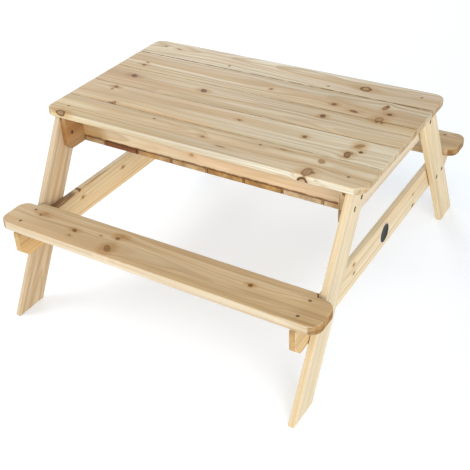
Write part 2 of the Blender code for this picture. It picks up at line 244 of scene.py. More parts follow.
def vector_maths(tree, operation, *values):
    made = node(tree, "ShaderNodeVectorMath", dict(enumerate(values)), operation=operation)
    return made.outputs["Value" if operation in ("LENGTH", "DOT_PRODUCT") else "Vector"]


def stretched(tree, vector, scale, shift):
    """The vector times a scale along each axis, plus a shift."""
    return vector_maths(tree, "MULTIPLY_ADD", vector, scale, shift)


def parts_of(tree, vector):
    return node(tree, "ShaderNodeSeparateXYZ", {0: vector}).outputs


def noise(tree, vector, scale, detail, shift=ORIGIN):
    """Noise about 0.5. The scale says how many waves to the metre it has along each axis."""
    inputs = {"Vector": stretched(tree, vector, scale, shift), "Scale": 1.0, "Detail": detail}
    return node(tree, "ShaderNodeTexNoise", inputs).outputs


print("vectors: stretched, parts_of and noise")

# %% [markdown]
# Stains, dust and browned ends darken wood as a dye does, and painted light and shade change it the same way:
# the pattern below stays visible. They could be mixed in like paint, but paint covers. So they are multiplied
# in, and only knots, streaks and late wood, which are wood of another colour, are mixed.

# %% Colours and relief


def grey(tree, value):
    """A colour whose three parts are this value."""
    return node(tree, "ShaderNodeCombineXYZ", {0: value, 1: value, 2: value}).outputs[0]


def mixed(tree, factor, first, second, blend="MIX"):
    """One colour blended with another."""
    inputs = {"Factor": factor, "A": first, "B": second}
    made = node(tree, "ShaderNodeMix", inputs, data_type="RGBA", blend_type=blend)
    return made.outputs["Result"]


def multiplied_in(tree, amount, colour, multiplier):
    """A colour with this much of another colour multiplied in, for a dye or for painted light and shade."""
    return mixed(tree, amount, colour, mixed(tree, 1.0, colour, multiplier, "MULTIPLY"))


def emboss(tree, shader, height, strength, distance):
    bump = node(tree, "ShaderNodeBump", {"Height": height, "Strength": strength, "Distance": distance})
    plug(tree, shader.inputs["Normal"], bump.outputs[0])


print("colours: grey, mixed, dyed and emboss")

# %% [markdown]
# All boards share the same drawing of grain and knots. It could be repeated in every material, but a node
# group is drawn once, and each board's material only gives it other numbers.

# %% Groups and materials


def new_group(name, inputs, outputs):
    """An empty node group with the named sockets. Returns the tree, its inputs and its output node."""
    tree = bpy.data.node_groups.new(name, "ShaderNodeTree")
    for label, kind in inputs.items():
        tree.interface.new_socket(name=label, in_out="INPUT", socket_type="NodeSocket" + kind)
    for label, kind in outputs.items():
        tree.interface.new_socket(name=label, in_out="OUTPUT", socket_type="NodeSocket" + kind)
    return tree, tree.nodes.new("NodeGroupInput").outputs, tree.nodes.new("NodeGroupOutput").inputs


def new_material(name):
    """A material, its tree and shader, and the outputs that say where on its piece a point is."""
    material = bpy.data.materials.new(name)
    material.use_nodes = True
    tree = material.node_tree
    return material, tree, tree.nodes["Principled BSDF"], node(tree, "ShaderNodeTexCoord", {}).outputs


print("new_group and new_material")

# %% [markdown]
# The grain group draws the wood. Its vector runs along the board, across it and through it. The rings wander
# because a tree is never straight, and that wandering makes the long pointed arches of a flat-sawn board.
# Broad streaks and fine fibres are noise drawn out along the grain. Slower noise makes some parts rosy, some
# dusky and some golden, as in any real plank.

# %% The grain of fir
GRAIN_NOISES = {
    "wander": ((1.6, 0.0, 0.0), 1.0),
    "ripple": ((4.0, 26.0, 26.0), 2.0),
    "streak": ((1.1, 30.0, 30.0), 3.0),
    "patch": ((3.5, 13.0, 13.0), 2.0),
    "fibre": ((16.0, 620.0, 620.0), 2.0),
    "mood": ((0.9, 11.0, 11.0), 1.0),
    "line": ((1.3, 105.0, 105.0), 2.0),
}
WANDER = (0.0, 0.07, 0.035)
RIPPLE = 0.007
UNEVEN_YEARS = 1.6
YEARS_SCALE = 0.37
LATE_RISE = (0.25, 0.88)
LATE_FALL = (1.0, 0.93)
STREAK_EDGE = (0.42, 0.66)
MOOD_EDGE = (0.50, 0.68)
LINE_EDGE = (0.50, 0.70)
SHIFT_ACROSS = 1.7
YEAR_STRENGTH = (0.75, 0.25)
PATCH_SHADE = (0.22, 0.82)
FIBRE_SHADE = 0.20
LATE_RELIEF = 0.5
FIBRE_RELIEF = 0.8
ROSY = (0.97, 0.86, 0.80, 1)
DUSKY = (0.84, 0.84, 0.86, 1)
GOLDEN = (1.0, 0.93, 0.78, 1)


def make_grain_group():
    inputs = {
        "Vector": "Vector", "Seed": "Float", "Heart": "Vector", "Ring Width": "Float", "Contrast": "Float",
        "Broad": "Float", "Pale": "Color", "Late": "Color", "Streak": "Color",
    }
    tree, given, result = new_group("fir_grain", inputs, {"Color": "Color", "Height": "Float"})
    seed, broad, contrast = given["Seed"], given["Broad"], given["Contrast"]
    apart = {0: seed, 1: times(tree, seed, SHIFT_ACROSS), 2: seed}
    shift = node(tree, "ShaderNodeCombineXYZ", apart).outputs[0]
    drawn = {kind: noise(tree, given["Vector"], *look, shift) for kind, look in GRAIN_NOISES.items()}
    fibre = drawn["fibre"]["Fac"]

    wander = stretched(tree, drawn["wander"]["Color"], WANDER, -Vector(WANDER) / 2)
    from_heart = vector_maths(tree, "SUBTRACT", given["Vector"], given["Heart"])
    from_heart = vector_maths(tree, "ADD", from_heart, wander)
    distance = vector_maths(tree, "LENGTH", stretched(tree, from_heart, (0.0, 1.0, 1.0), ORIGIN))
    ripple = maths(tree, "SUBTRACT", drawn["ripple"]["Fac"], 0.5)
    years = maths(tree, "DIVIDE", scaled(tree, ripple, RIPPLE, distance), given["Ring Width"])
    uneven = node(tree, "ShaderNodeTexNoise", {"W": maths(tree, "ADD", years, seed), "Scale": YEARS_SCALE},
                  noise_dimensions="1D").outputs["Fac"]
    years = scaled(tree, uneven, UNEVEN_YEARS, years)
    part = maths(tree, "FRACT", years)
    year = maths(tree, "ADD", maths(tree, "FLOOR", years), seed)
    strength = node(tree, "ShaderNodeTexWhiteNoise", {"W": year}, noise_dimensions="1D").outputs["Value"]
    late = times(tree, between(tree, part, *LATE_RISE), between(tree, part, *LATE_FALL))
    late = times(tree, late, scaled(tree, strength, *YEAR_STRENGTH))

    streak = times(tree, between(tree, drawn["streak"]["Fac"], *STREAK_EDGE), broad)
    colour = mixed(tree, streak, given["Pale"], given["Streak"])
    for part, tint in zip(parts_of(tree, drawn["mood"]["Color"]), (ROSY, DUSKY, GOLDEN)):
        colour = multiplied_in(tree, times(tree, between(tree, part, *MOOD_EDGE), broad), colour, tint)
    line = times(tree, between(tree, drawn["line"]["Fac"], *LINE_EDGE), contrast)
    colour = mixed(tree, line, colour, given["Late"])
    colour = mixed(tree, times(tree, late, contrast), colour, given["Late"])
    shade = scaled(tree, fibre, FIBRE_SHADE, scaled(tree, drawn["patch"]["Fac"], *PATCH_SHADE))
    plug(tree, result["Color"], mixed(tree, 1.0, colour, grey(tree, shade), "MULTIPLY"))
    plug(tree, result["Height"], scaled(tree, late, LATE_RELIEF, times(tree, fibre, FIBRE_RELIEF)))
    return tree


grain_group = make_grain_group()
print("grain group of", len(grain_group.nodes), "nodes")

# %% [markdown]
# A knot is the root of a branch, cut across. The fibres part and flow round it, as water round a stone, so
# the knot group bends the vector before the grain reads it. It also says how far the knot covers the wood,
# how dark it is, and where the wood beside it is stained. Most knots run through their board. One at an edge
# is a ball, whose steepness is one over its depth. Groups in a row give a board several knots.

# %% A knot
KNOT_NUMBERS = ("Ragged", "Cover", "Tone", "Stain", "Radius", "Stretch", "Angle", "Steep", "Dark", "Rim",
                "Soft", "Halo")
KNOT_RAGGED = 0.45
KNOT_RINGS = 14.0
KNOT_RING_TONE = 0.07
KNOT_WAVER = 9.0
KNOT_RIM = (0.42, 0.74)
STAIN_LENGTH = 1.9
STAIN_WIDTH = 1.25
STAIN_EDGE = (1.8, 0.5)
STAIN_RAGGED = 0.8
FLOW_LENGTH = 2.2
FLOW_PUSH = -0.5


def make_knot_group():
    inputs = {**dict.fromkeys(("Place", "Vector", "Spot"), "Vector"), **dict.fromkeys(KNOT_NUMBERS, "Float")}
    outputs = {"Vector": "Vector", "Cover": "Float", "Tone": "Float", "Stain": "Float"}
    tree, given, result = new_group("branch_knot", inputs, outputs)
    offset = vector_maths(tree, "SUBTRACT", given["Place"], given["Spot"])
    turned = node(tree, "ShaderNodeVectorRotate", {"Vector": offset, "Angle": given["Angle"]},
                  rotation_type="Z_AXIS").outputs[0]

    def reach(vector, along, across):
        """Distance from the knot's middle, in knot sizes that are this much longer along and across."""
        parts = parts_of(tree, vector)
        x = maths(tree, "DIVIDE", parts[0], times(tree, given["Radius"], along))
        y = maths(tree, "DIVIDE", parts[1], times(tree, given["Radius"], across))
        z = times(tree, parts[2], given["Steep"])
        flat = scaled(tree, x, x, times(tree, y, y))
        return maths(tree, "SQRT", scaled(tree, z, z, flat))

    ragged = maths(tree, "SUBTRACT", given["Ragged"], 0.5)
    rho = scaled(tree, ragged, KNOT_RAGGED, reach(turned, given["Stretch"], 1.0))
    outside = maths(tree, "ADD", 1.0, given["Soft"])
    inside = maths(tree, "SUBTRACT", 1.0, given["Soft"])
    cover = between(tree, rho, outside, inside)
    rings = maths(tree, "SINE", scaled(tree, rho, KNOT_RINGS, times(tree, ragged, KNOT_WAVER)))
    rim = times(tree, between(tree, rho, *KNOT_RIM), given["Rim"])
    tone = larger(tree, scaled(tree, rings, KNOT_RING_TONE, given["Dark"]), rim)
    old = times(tree, given["Tone"], maths(tree, "SUBTRACT", 1.0, cover))
    plug(tree, result["Tone"], scaled(tree, tone, cover, old))
    plug(tree, result["Cover"], larger(tree, given["Cover"], cover))

    stain = reach(offset, times(tree, given["Stretch"], STAIN_LENGTH), STAIN_WIDTH)
    stain = between(tree, scaled(tree, ragged, STAIN_RAGGED, stain), *STAIN_EDGE)
    plug(tree, result["Stain"], larger(tree, given["Stain"], times(tree, stain, given["Halo"])))

    flow = reach(offset, times(tree, given["Stretch"], FLOW_LENGTH), STAIN_WIDTH)
    flow = larger(tree, times(tree, flow, flow), 1.0)
    push = node(tree, "ShaderNodeCombineXYZ", {1: maths(tree, "DIVIDE", FLOW_PUSH, flow)}).outputs[0]
    plug(tree, result["Vector"], stretched(tree, offset, push, given["Vector"]))
    return tree


knot_group = make_knot_group()
print("knot group of", len(knot_group.nodes), "nodes")

# %% [markdown]
# Each board is a piece of its own tree, so each gets its own tint, its own heart in the tree, and its own
# knots. A tint is written as the pale early wood, and late wood and streaks are shares of it. On most boards
# the narrow sides are painted paler, as painted light, and on a few browner, as painted shade. Spans along a
# board can be painted darker, and where they lie under or beside other parts that is painted shade.

# %% The numbers of a tint and a knot
LATE_SHARES = (0.66, 0.53, 0.38)
STREAK_SHARES = (0.86, 0.77, 0.63)


@dataclass
class Tint:
    """The colours of a board: its pale early wood, and how strong and wide its rings are. Broad says how
    strong the wide streaks are, and lean how much darker the board is towards its upper side, as painted
    shade under the part above it. Edge says how much paler its narrow sides are, as painted light, or below 0
    how much browner, as painted shade, and end how brown its ends are. Darker spans say from where to where
    along the board it gets darker, and how strongly: painted shade where it lies under or beside another
    part."""

    pale: tuple
    contrast: float = 0.6
    ring: float = 0.0050
    broad: float = 1.0
    lean: float = 0.0
    edge: float = 0.0
    end: float = 1.0
    darker_spans: tuple = ()

    def shade(self, shares=(1, 1, 1)):
        return (*(part * share for part, share in zip(self.pale, shares)), 1)


def knot(along, across, radius, stretch=1.2, angle=0.0, dark=0.5, rim=0.6, height=0.0, depth=None, soft=0.11,
         halo=1.0):
    """A knot's place along and across its board from the board's middle, and its look, as the knot group
    reads them. Given a depth, it is a ball at that height in the board, and otherwise it runs through."""
    return {"Spot": (along, across, height), "Radius": radius, "Stretch": stretch,
            "Angle": math.radians(angle), "Steep": 1 / depth if depth else 0.0, "Dark": dark, "Rim": rim,
            "Soft": soft, "Halo": halo}


def srgb(red, green, blue):
    """A screen colour, 0 to 255, as the linear numbers that Blender's sockets take."""
    parts = [value / 255 for value in (red, green, blue)]
    return tuple(part / 12.92 if part <= 0.04045 else ((part + 0.055) / 1.055) ** 2.4 for part in parts)


print("a tint from", srgb(255, 255, 255), "down to", srgb(0, 0, 0))

# %% [markdown]
# Dust gathers where two boards meet and round the sunk heads, and shade falls there. Real gaps of a
# millimetre would shade by themselves, but from far off they blur away, so the joints and the rings round the
# heads are also drawn as thin dark lines of painted shade. Each kind of joint has its own: how far from the
# edge the line starts, and where it is full.

# %% Dust and painted shade in the joints
TOP_LINE = (0.0018, 0.0003)
BACK_LINE = (0.0034, 0.0018)
LEG_LINE = (0.0042, 0.0012)
BOX_LINE = (0.0042, 0.0030)
RAIL_LINE = (0.0045, 0.0030)
UNDER_RAIL = (0.0050, 0.0062)
RING_EDGE = 0.0003
BOLT_RING_EDGE = 0.0007
POCKET_RADIUS = 0.0062
DUST_SCALE = (48.0, 9.0, 9.0)
DUST_SHIFT = (3.1, 0.0, 0.0)
DUST_EDGE = (0.36, 0.60)
DUST_SHARES = (0.5, 0.5)
LINE_HEIGHT = 0.002


def shadow_lines(tree, local, half_width, joints, bores):
    """1 in the joints with the next boards and round the fixings, where shade is painted and dust gathers,
    and 0 elsewhere. A joint is a way across the board, how far out it lies that way, the face it is on, or 0
    for both, and how far from it the line starts and is full. A line on one face lies to both sides of its
    joint."""
    height = parts_of(tree, local)[2]
    dust = between(tree, noise(tree, local, DUST_SCALE, 2.0, DUST_SHIFT)["Fac"], *DUST_EDGE)
    dust = scaled(tree, dust, *DUST_SHARES)
    shadow = 0.0
    for way, offset, side, (start, full) in joints:
        offset = offset or half_width
        reach = vector_maths(tree, "DOT_PRODUCT", local, way)
        line = times(tree, between(tree, reach, offset - start, offset - full), dust)
        if side:
            line = times(tree, line, between(tree, reach, offset + start, offset + full),
                         between(tree, height, 0.0, LINE_HEIGHT * side))
        shadow = larger(tree, line, shadow)
    for place, radius in bores:
        flat = stretched(tree, local, (1.0, 1.0, 0.0), (-place.x, -place.y, 0.0))
        soft_edge = BOLT_RING_EDGE if radius == POCKET_RADIUS else RING_EDGE
        ring = between(tree, vector_maths(tree, "LENGTH", flat), radius + soft_edge, radius)
        shadow = larger(tree, ring, shadow)
    return shadow


def facing(tree, normal, way, start, full):
    """1 where the surface faces this way or the opposite one."""
    cosine = vector_maths(tree, "DOT_PRODUCT", normal, Vector(way).normalized())
    return between(tree, maths(tree, "ABSOLUTE", cosine), start, full)


print("joint lines of", [round(1000 * line[0], 1) for line in (TOP_LINE, BACK_LINE, LEG_LINE)], "mm")

# %% [markdown]
# Now the material of one board is put together: the knots bend the grain, the grain gives the colour, and
# stains, painted light and painted shade are laid over it. The ends of a board are cut across the fibres.
# They drink in more light and dust, so wherever the surface faces along the grain it is browner and rougher.
# A slat's end also lies in the dark right under the rail, which is painted as shade. The facings below say
# how squarely a surface must face a way to count.

# %% The wood of one board
KNOT_TONES = ((0.0, (0.60, 0.425, 0.26, 1)), (0.25, (0.41, 0.248, 0.118, 1)), (0.5, (0.23, 0.118, 0.042, 1)),
              (0.75, (0.125, 0.060, 0.018, 1)), (1.0, (0.055, 0.023, 0.005, 1)))
STAIN_TINT = (0.84, 0.69, 0.49, 1)
END_TINT = (0.68, 0.57, 0.42, 1)
END_DIRT = (0.46, 0.34, 0.21, 1)
# Painted light: narrow sides made paler and cooler, as if lit.
EDGE_LIGHT_TINT = (1.04, 1.20, 1.48, 1)
# The tint of darker narrow sides and darker spans, painted shade where these lie under or beside other parts.
DARKER_TINT = (0.80, 0.70, 0.54, 1)
# Painted shade, with some dust: the colour of the dark lines in the joints and round the sunk heads.
JOINT_SHADE_AND_DUST_TINT = (0.36, 0.27, 0.19, 1)
RAGGED_SCALE = (90.0, 150.0, 40.0)
DIRT_SCALE = (22.0, 34.0, 60.0)
DIRT_EDGE = (0.42, 0.60)
SEED_STEP = 0.731
HEART_ACROSS = 0.045
HEART_DEPTH = 0.085
SIDE_FACING = (0.45, 0.9)
END_FACING = (0.12, 0.36)
END_UPRIGHT = (0.65, 0.25)
UNDER_FACING = (0.1, 0.3)
LINE_FACING = (0.98, 0.75)
WOOD_ROUGHNESS = (0.16, 0.46)
END_ROUGHNESS = 0.2
KNOT_RELIEF = 0.5
WOOD_GLOSS = 0.2
WOOD_BUMP = (0.35, 0.0006)


def board_turn(grain, face):
    """The turn that lays local X along the grain and local Z out of the board's face."""
    grain, face = Vector(grain).normalized(), Vector(face).normalized()
    return Matrix((grain, face.cross(grain), face)).transposed().to_euler()


def with_knots(tree, local, knots, seed):
    """A row of knot groups. Returns the bent vector, how far knots cover the wood, their tone and stain."""
    ragged = noise(tree, local, RAGGED_SCALE, 2.0, (seed, 0.0, 0.0))["Fac"]
    chain = {"Vector": local, "Cover": 0.0, "Tone": 0.0, "Stain": 0.0}
    for looks in knots:
        inputs = {**chain, "Place": local, "Ragged": ragged, **looks}
        outputs = node(tree, "ShaderNodeGroup", inputs, node_tree=knot_group).outputs
        chain = {key: outputs[key] for key in chain}
    return chain


def clear_wood(tree, vector, tint, seed):
    """The wood without its knots: its colour, and the height of its fibres."""
    rng = random.Random(seed)
    across = rng.uniform(-HEART_ACROSS, HEART_ACROSS)
    heart = (0.0, across, rng.choice((-1, 1)) * rng.uniform(HEART_ACROSS, HEART_DEPTH))
    inputs = {"Vector": vector, "Seed": seed * SEED_STEP, "Heart": heart, "Ring Width": tint.ring,
              "Contrast": tint.contrast, "Broad": tint.broad, "Pale": tint.shade(),
              "Late": tint.shade(LATE_SHARES), "Streak": tint.shade(STREAK_SHARES)}
    return node(tree, "ShaderNodeGroup", inputs, node_tree=grain_group).outputs


def knot_colour(tree, tone):
    made = node(tree, "ShaderNodeValToRGB", {"Fac": tone})
    elements = made.color_ramp.elements
    for position, _ in KNOT_TONES[1:-1]:
        elements.new(position)
    for element, (position, colour) in zip(elements, KNOT_TONES):
        element.position = position
        element.color = colour
    return made.outputs["Color"]


def fir(name, grain, face, tint, knots, joints, bores, seed):
    """The material of one board, whose box says where its middle is and how wide it is."""
    low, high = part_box(name)
    middle = (low + high) / 2
    turn = board_turn(grain, face)
    unturn = turn.to_matrix().transposed()
    half_width = abs((unturn @ (high - low)).y) / 2
    material, tree, shader, place = new_material(name + "_fir")
    lay = {"Vector": place["Object"], "Location": middle, "Rotation": turn}
    local = node(tree, "ShaderNodeMapping", lay, vector_type="TEXTURE").outputs[0]
    along, sideways, height = parts_of(tree, local)
    across = Vector(face).cross(Vector(grain))

    def faces(way, limits):
        return facing(tree, place["Normal"], way, *limits)

    chain = with_knots(tree, local, knots, seed)
    wood = clear_wood(tree, chain["Vector"], tint, seed)
    colour = multiplied_in(tree, chain["Stain"], wood["Color"], STAIN_TINT)
    colour = mixed(tree, chain["Cover"], colour, knot_colour(tree, chain["Tone"]))
    # Painted light and shade on the narrow sides: paler where edge is above 0, browner where it is below.
    side = times(tree, faces(across, SIDE_FACING), abs(tint.edge))
    colour = multiplied_in(tree, side, colour, EDGE_LIGHT_TINT if tint.edge > 0 else DARKER_TINT)
    # Painted shade: darker towards the upper side, under the part above.
    if tint.lean:
        lean = grey(tree, scaled(tree, sideways, -tint.lean / half_width, 1.0))
        colour = mixed(tree, 1.0, colour, lean, "MULTIPLY")
    # Darker spans: painted shade at the beams' ends under the seats and at the front rail's left end beside
    # the end rail.
    for start, full, share in tint.darker_spans:
        span_darkening = times(tree, between(tree, along, start, full), share)
        colour = multiplied_in(tree, span_darkening, colour, DARKER_TINT)
    end = times(tree, faces(grain, END_FACING), faces(face, END_UPRIGHT), tint.end)
    dirt = between(tree, noise(tree, local, DIRT_SCALE, 3.0, (0.0, seed, 0.0))["Fac"], *DIRT_EDGE)
    colour = multiplied_in(tree, end, colour, mixed(tree, dirt, END_TINT, END_DIRT))

    # Painted shade and dust: dark lines in the joints, rings round the sunk heads, and the slats' ends under
    # the rail.
    local_bores = [(unturn @ (point - middle), radius) for point, radius in bores]
    shadow = shadow_lines(tree, local, half_width, joints, local_bores)
    if name.startswith("floor_slat"):
        under_rail = times(tree, faces(grain, UNDER_FACING), between(tree, height, *UNDER_RAIL))
        shadow = larger(tree, under_rail, shadow)
    shadow = times(tree, shadow, faces(across, LINE_FACING))
    plug(tree, shader.inputs["Base Color"], multiplied_in(tree, shadow, colour, JOINT_SHADE_AND_DUST_TINT))
    rough = scaled(tree, wood["Height"], *WOOD_ROUGHNESS)
    plug(tree, shader.inputs["Roughness"], scaled(tree, end, END_ROUGHNESS, rough))
    shader.inputs["Specular IOR Level"].default_value = WOOD_GLOSS
    relief = scaled(tree, chain["Cover"], KNOT_RELIEF, wood["Height"])
    emboss(tree, shader, relief, *WOOD_BUMP)
    return material


print(len(KNOT_TONES), "tones of knots")

# %% [markdown]
# Carpentry in Blender: a board starts as a cube of the blank's size, as it leaves the saw. In edit mode its
# edges are chosen by their place and bevelled: a single flat bevel for a sawn corner, twelve steps for a
# round one. Last, every sharp edge is eased, as with sandpaper, because no real board has a razor edge.

# %% Pick, add and edit
SHARP_ANGLE = 30
SMOOTH_ANGLE = 40
STRAIGHT = 0.9


def pick(*pieces):
    """Selects these pieces alone, and makes the first one active."""
    bpy.ops.object.select_all(action="DESELECT")
    for piece in pieces:
        piece.select_set(True)
    bpy.context.view_layer.objects.active = pieces[0]


def add(name, primitive, **settings):
    """Adds a primitive with nothing else selected, and applies its place and size to its mesh."""
    bpy.ops.object.select_all(action="DESELECT")
    primitive(**settings)
    bpy.ops.object.transform_apply()
    piece = bpy.context.object
    piece.name = name
    piece.data.name = name
    return piece


def sawn_blank(name, low, high):
    """A cube of the blank's size at its place."""
    return add(name, bpy.ops.mesh.primitive_cube_add, size=1, location=(low + high) / 2, scale=high - low)


def edit(piece, kind, wanted):
    """Opens edit mode on the piece with only those edges or faces selected that the test wants."""
    pick(piece)
    bpy.ops.object.mode_set(mode="EDIT")
    bpy.ops.mesh.select_mode(type=kind)
    bpy.ops.mesh.select_all(action="DESELECT")
    form = bmesh.from_edit_mesh(piece.data)
    for part in (form.edges if kind == "EDGE" else form.faces):
        if wanted(part):
            part.select_set(True)
    bmesh.update_edit_mesh(piece.data)


def close_edit():
    bpy.ops.object.mode_set(mode="OBJECT")


print("bench: pick, add, sawn_blank and edit")

# %% [markdown]
# A carpenter planes an edge, draws out a tongue and sands the whole. Here that is bevel, extrude, and
# modifiers that are applied at once. They could stay live, but then every later step would have to reckon
# with a shape that isn't there yet.

# %% Bevel, extrude and apply


def bevel(piece, wanted, offset, segments):
    edit(piece, "EDGE", wanted)
    bpy.ops.mesh.bevel(offset=offset, offset_type="OFFSET", segments=segments, affect="EDGES")
    close_edit()


def extrude(piece, wanted, move):
    edit(piece, "FACE", wanted)
    bpy.ops.mesh.extrude_region_move(TRANSFORM_OT_translate={"value": move})
    close_edit()


def apply_modifiers(piece):
    pick(piece)
    for name in [modifier.name for modifier in piece.modifiers]:
        bpy.ops.object.modifier_apply(modifier=name)


def smooth(piece):
    pick(piece)
    bpy.ops.object.shade_smooth_by_angle(angle=math.radians(SMOOTH_ANGLE))


def paint(piece, material):
    piece.data.materials.clear()
    piece.data.materials.append(material)


print("bench: bevel, extrude, apply_modifiers, smooth and paint")

# %% [markdown]
# Edges and faces are told apart as a carpenter does, by where they are and which way they face. Numbers of
# edges would be shorter to write, but they change with every cut.

# %% Which edge is which


def is_top(face):
    return face.normal.z > STRAIGHT


def direction(edge):
    return (edge.verts[1].co - edge.verts[0].co).normalized()


def middle_of(edge):
    return (edge.verts[0].co + edge.verts[1].co) / 2


def is_sharp(edge):
    return edge.is_manifold and edge.calc_face_angle() > math.radians(SHARP_ANGLE)


def cut_lengths(piece, grain, count):
    """Cuts the board across into short lengths, so that it can warp a little."""
    along = Vector(grain).normalized()
    edit(piece, "EDGE", lambda edge: abs(direction(edge).dot(along)) > STRAIGHT)
    bpy.ops.mesh.subdivide(number_cuts=count)
    close_edit()


print("sharp is more than", SHARP_ANGLE, "degrees")

# %% [markdown]
# Timber moves as it dries, so its faces are never quite flat and the gaps between boards are never quite
# even. Sculpting could give that, but a Displace modifier with a soft cloud texture does it evenly, by at
# most a quarter of a millimetre, and Weighted Normal keeps the broad faces calm beside their eased edges.

# %% Ease, warp and smooth
EASE_STEPS = 3
CORNER_STEPS = 12
WARP = 0.0005
WARP_LENGTH = 0.22

clouds = bpy.data.textures.new("timber_warp", "CLOUDS")
clouds.noise_scale = WARP_LENGTH
clouds.noise_depth = 1


def ease_edges(piece, radius):
    bevel(piece, is_sharp, radius, EASE_STEPS)


def warp_and_smooth(piece):
    warp = piece.modifiers.new("warp", "DISPLACE")
    warp.texture = clouds
    warp.texture_coords = "LOCAL"
    warp.strength = WARP
    warp.mid_level = 0.5
    smooth(piece)
    calm = piece.modifiers.new("calm", "WEIGHTED_NORMAL")
    calm.keep_sharp = True
    apply_modifiers(piece)


print("warp of", 1000 * WARP / 2, "mm to each side")

# %% [markdown]
# Bolts sit in bored pockets and screw heads in countersinks. One cutter is modelled for each kind, copied to
# every fixing of a board, joined, and taken out of the board by one Boolean. The CAD fixings say where. The
# exact solver turned two of these boards inside out, so the holes are cut by the manifold one.

# %% Cutters for the fixings
POCKET_DEPTH = 0.0045
SINK_DEPTH = 0.0040
SINK_SLACK = 0.0003
SINK_TAPER = 0.4
CUT_OVER = 0.004
CUTTER_SIDES = 32
SCREW_EXAMPLES = {"seat": "seat_screw_front_left_1", "top": "top_end_screw_front_left"}


def fixing_turn(name):
    """Local Z turned the way the fixing's head faces, out of the wood."""
    low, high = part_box(name)
    if "bolt" not in name:
        return Matrix.Identity(4)
    outwards = 1 if (low + high).x > 0 else -1
    return Matrix.Rotation(math.radians(90 * outwards), 4, "Y")


def head_point(name, low, high):
    """The middle of the fixing, moved out to the face of the box from low to high that its head is at."""
    point = sum(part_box(name), Vector()) / 2
    if "bolt" in name:
        point.x = high.x if point.x > 0 else low.x
    else:
        point.z = high.z
    return point


def copy_to(piece, name, matrix):
    """A copy with its own mesh, its place applied to the mesh."""
    twin = piece.copy()
    twin.data = piece.data.copy()
    twin.name = name
    twin.data.name = name
    scene.collection.objects.link(twin)
    twin.matrix_world = matrix
    pick(twin)
    bpy.ops.object.transform_apply()
    return twin


def take_out(piece, cutter, solver="EXACT"):
    """One Boolean difference, applied, after which the cutter is thrown away."""
    hole = piece.modifiers.new("hole", "BOOLEAN")
    hole.operation = "DIFFERENCE"
    hole.solver = solver
    hole.object = cutter
    apply_modifiers(piece)
    bpy.data.objects.remove(cutter)


def screw_radius(name):
    low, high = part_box(name)
    return (high.x - low.x) / 2


def bore_radius(name):
    return POCKET_RADIUS if "bolt" in name else screw_radius(name) + SINK_SLACK


def cutter_for(name, bottom, top, taper):
    """A plug that fits the fixing's bore, straight, or narrower at its bottom by the taper."""
    radius = bore_radius(name)
    return add("cutter", bpy.ops.mesh.primitive_cone_add, vertices=CUTTER_SIDES, radius1=radius * taper,
               radius2=radius, depth=top - bottom, location=(0, 0, (top + bottom) / 2))


cutters = {"bolt": cutter_for("top_bolt_front_right_1", -POCKET_DEPTH, CUT_OVER, 1)}
for kind, example in SCREW_EXAMPLES.items():
    cutters[kind] = cutter_for(example, -SINK_DEPTH, -SINK_SLACK, SINK_TAPER)
    extrude(cutters[kind], is_top, (0, 0, CUT_OVER))


def kind_of(name):
    """Bolt, or the board that the screw holds: seat or top."""
    return "bolt" if "bolt" in name else name.split("_")[0]


def bore(piece, board, fixings):
    """Takes the pockets and countersinks of these fixings out of the board."""
    if not fixings:
        return
    plugs = []
    for name in fixings:
        matrix = Matrix.Translation(head_point(name, *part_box(board))) @ fixing_turn(name)
        plugs.append(copy_to(cutters[kind_of(name)], "plug_" + name, matrix))
    pick(*plugs)
    if len(plugs) > 1:
        bpy.ops.object.join()
    take_out(piece, plugs[0], "MANIFOLD")


print("cutters:", *cutters)

# %% [markdown]
# Battens, long rails and slats are plain boards: a blank, cut across into short lengths so that it can warp.
# The boards of the tabletop start like them. Each of the outer two gets two round corners, and all have the
# corners at their joints rubbed down. A Boolean could cut a round corner, but bevelling its upright edge does
# it in one step, and the same step rubs down the small ones.

# %% Plain boards and the tabletop's
CORNER_RADIUS = 0.030
JOINT_CORNER = 0.0035
LENGTHS = 14
NEAR = 0.001


def plain_board(name, grain):
    blank = sawn_blank(name + "_planed", *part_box(name))
    cut_lengths(blank, grain, LENGTHS)
    return blank


def is_upright_at(edge, x, y):
    spot = middle_of(edge)
    return abs(direction(edge).z) > STRAIGHT and abs(abs(spot.x) - x) < NEAR and abs(spot.y - y) < NEAR


def outer_top_board(name, grain):
    low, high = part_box(name)
    board = plain_board(name, grain)
    outer_y, inner_y = (low.y, high.y) if low.y < -high.y else (high.y, low.y)
    bevel(board, lambda edge: is_upright_at(edge, high.x, outer_y), CORNER_RADIUS, CORNER_STEPS)
    bevel(board, lambda edge: is_upright_at(edge, high.x, inner_y), JOINT_CORNER, EASE_STEPS)
    return board


def lid_board(name, grain):
    low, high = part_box(name)
    board = plain_board(name, grain)
    for y in (low.y, high.y):
        bevel(board, lambda edge: is_upright_at(edge, high.x, y), JOINT_CORNER, EASE_STEPS)
    return board


print("round corners of", 1000 * CORNER_RADIUS, "mm")

# %% [markdown]
# The end rails and the seat beams have their lower corners sawn off. A bisect could saw them, one corner at
# a time, but a bevel with a single flat segment takes off both at once, and its size is the cut's.

# %% End rails and seat beams
RAIL_CHAMFER = 0.014
BEAM_CHAMFER = 0.025


def chamfered_board(name, grain):
    low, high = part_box(name)
    board = plain_board(name, grain)
    chamfer = BEAM_CHAMFER if "beam" in name else RAIL_CHAMFER

    def is_lower_corner(edge):
        spot = middle_of(edge)
        is_at_end = abs(spot.z - low.z) < NEAR and abs(abs(spot.y) - high.y) < NEAR
        return abs(direction(edge).x) > STRAIGHT and is_at_end

    bevel(board, is_lower_corner, chamfer, 1)
    return board


print("sawn corners of", 1000 * RAIL_CHAMFER, "and", 1000 * BEAM_CHAMFER, "mm")

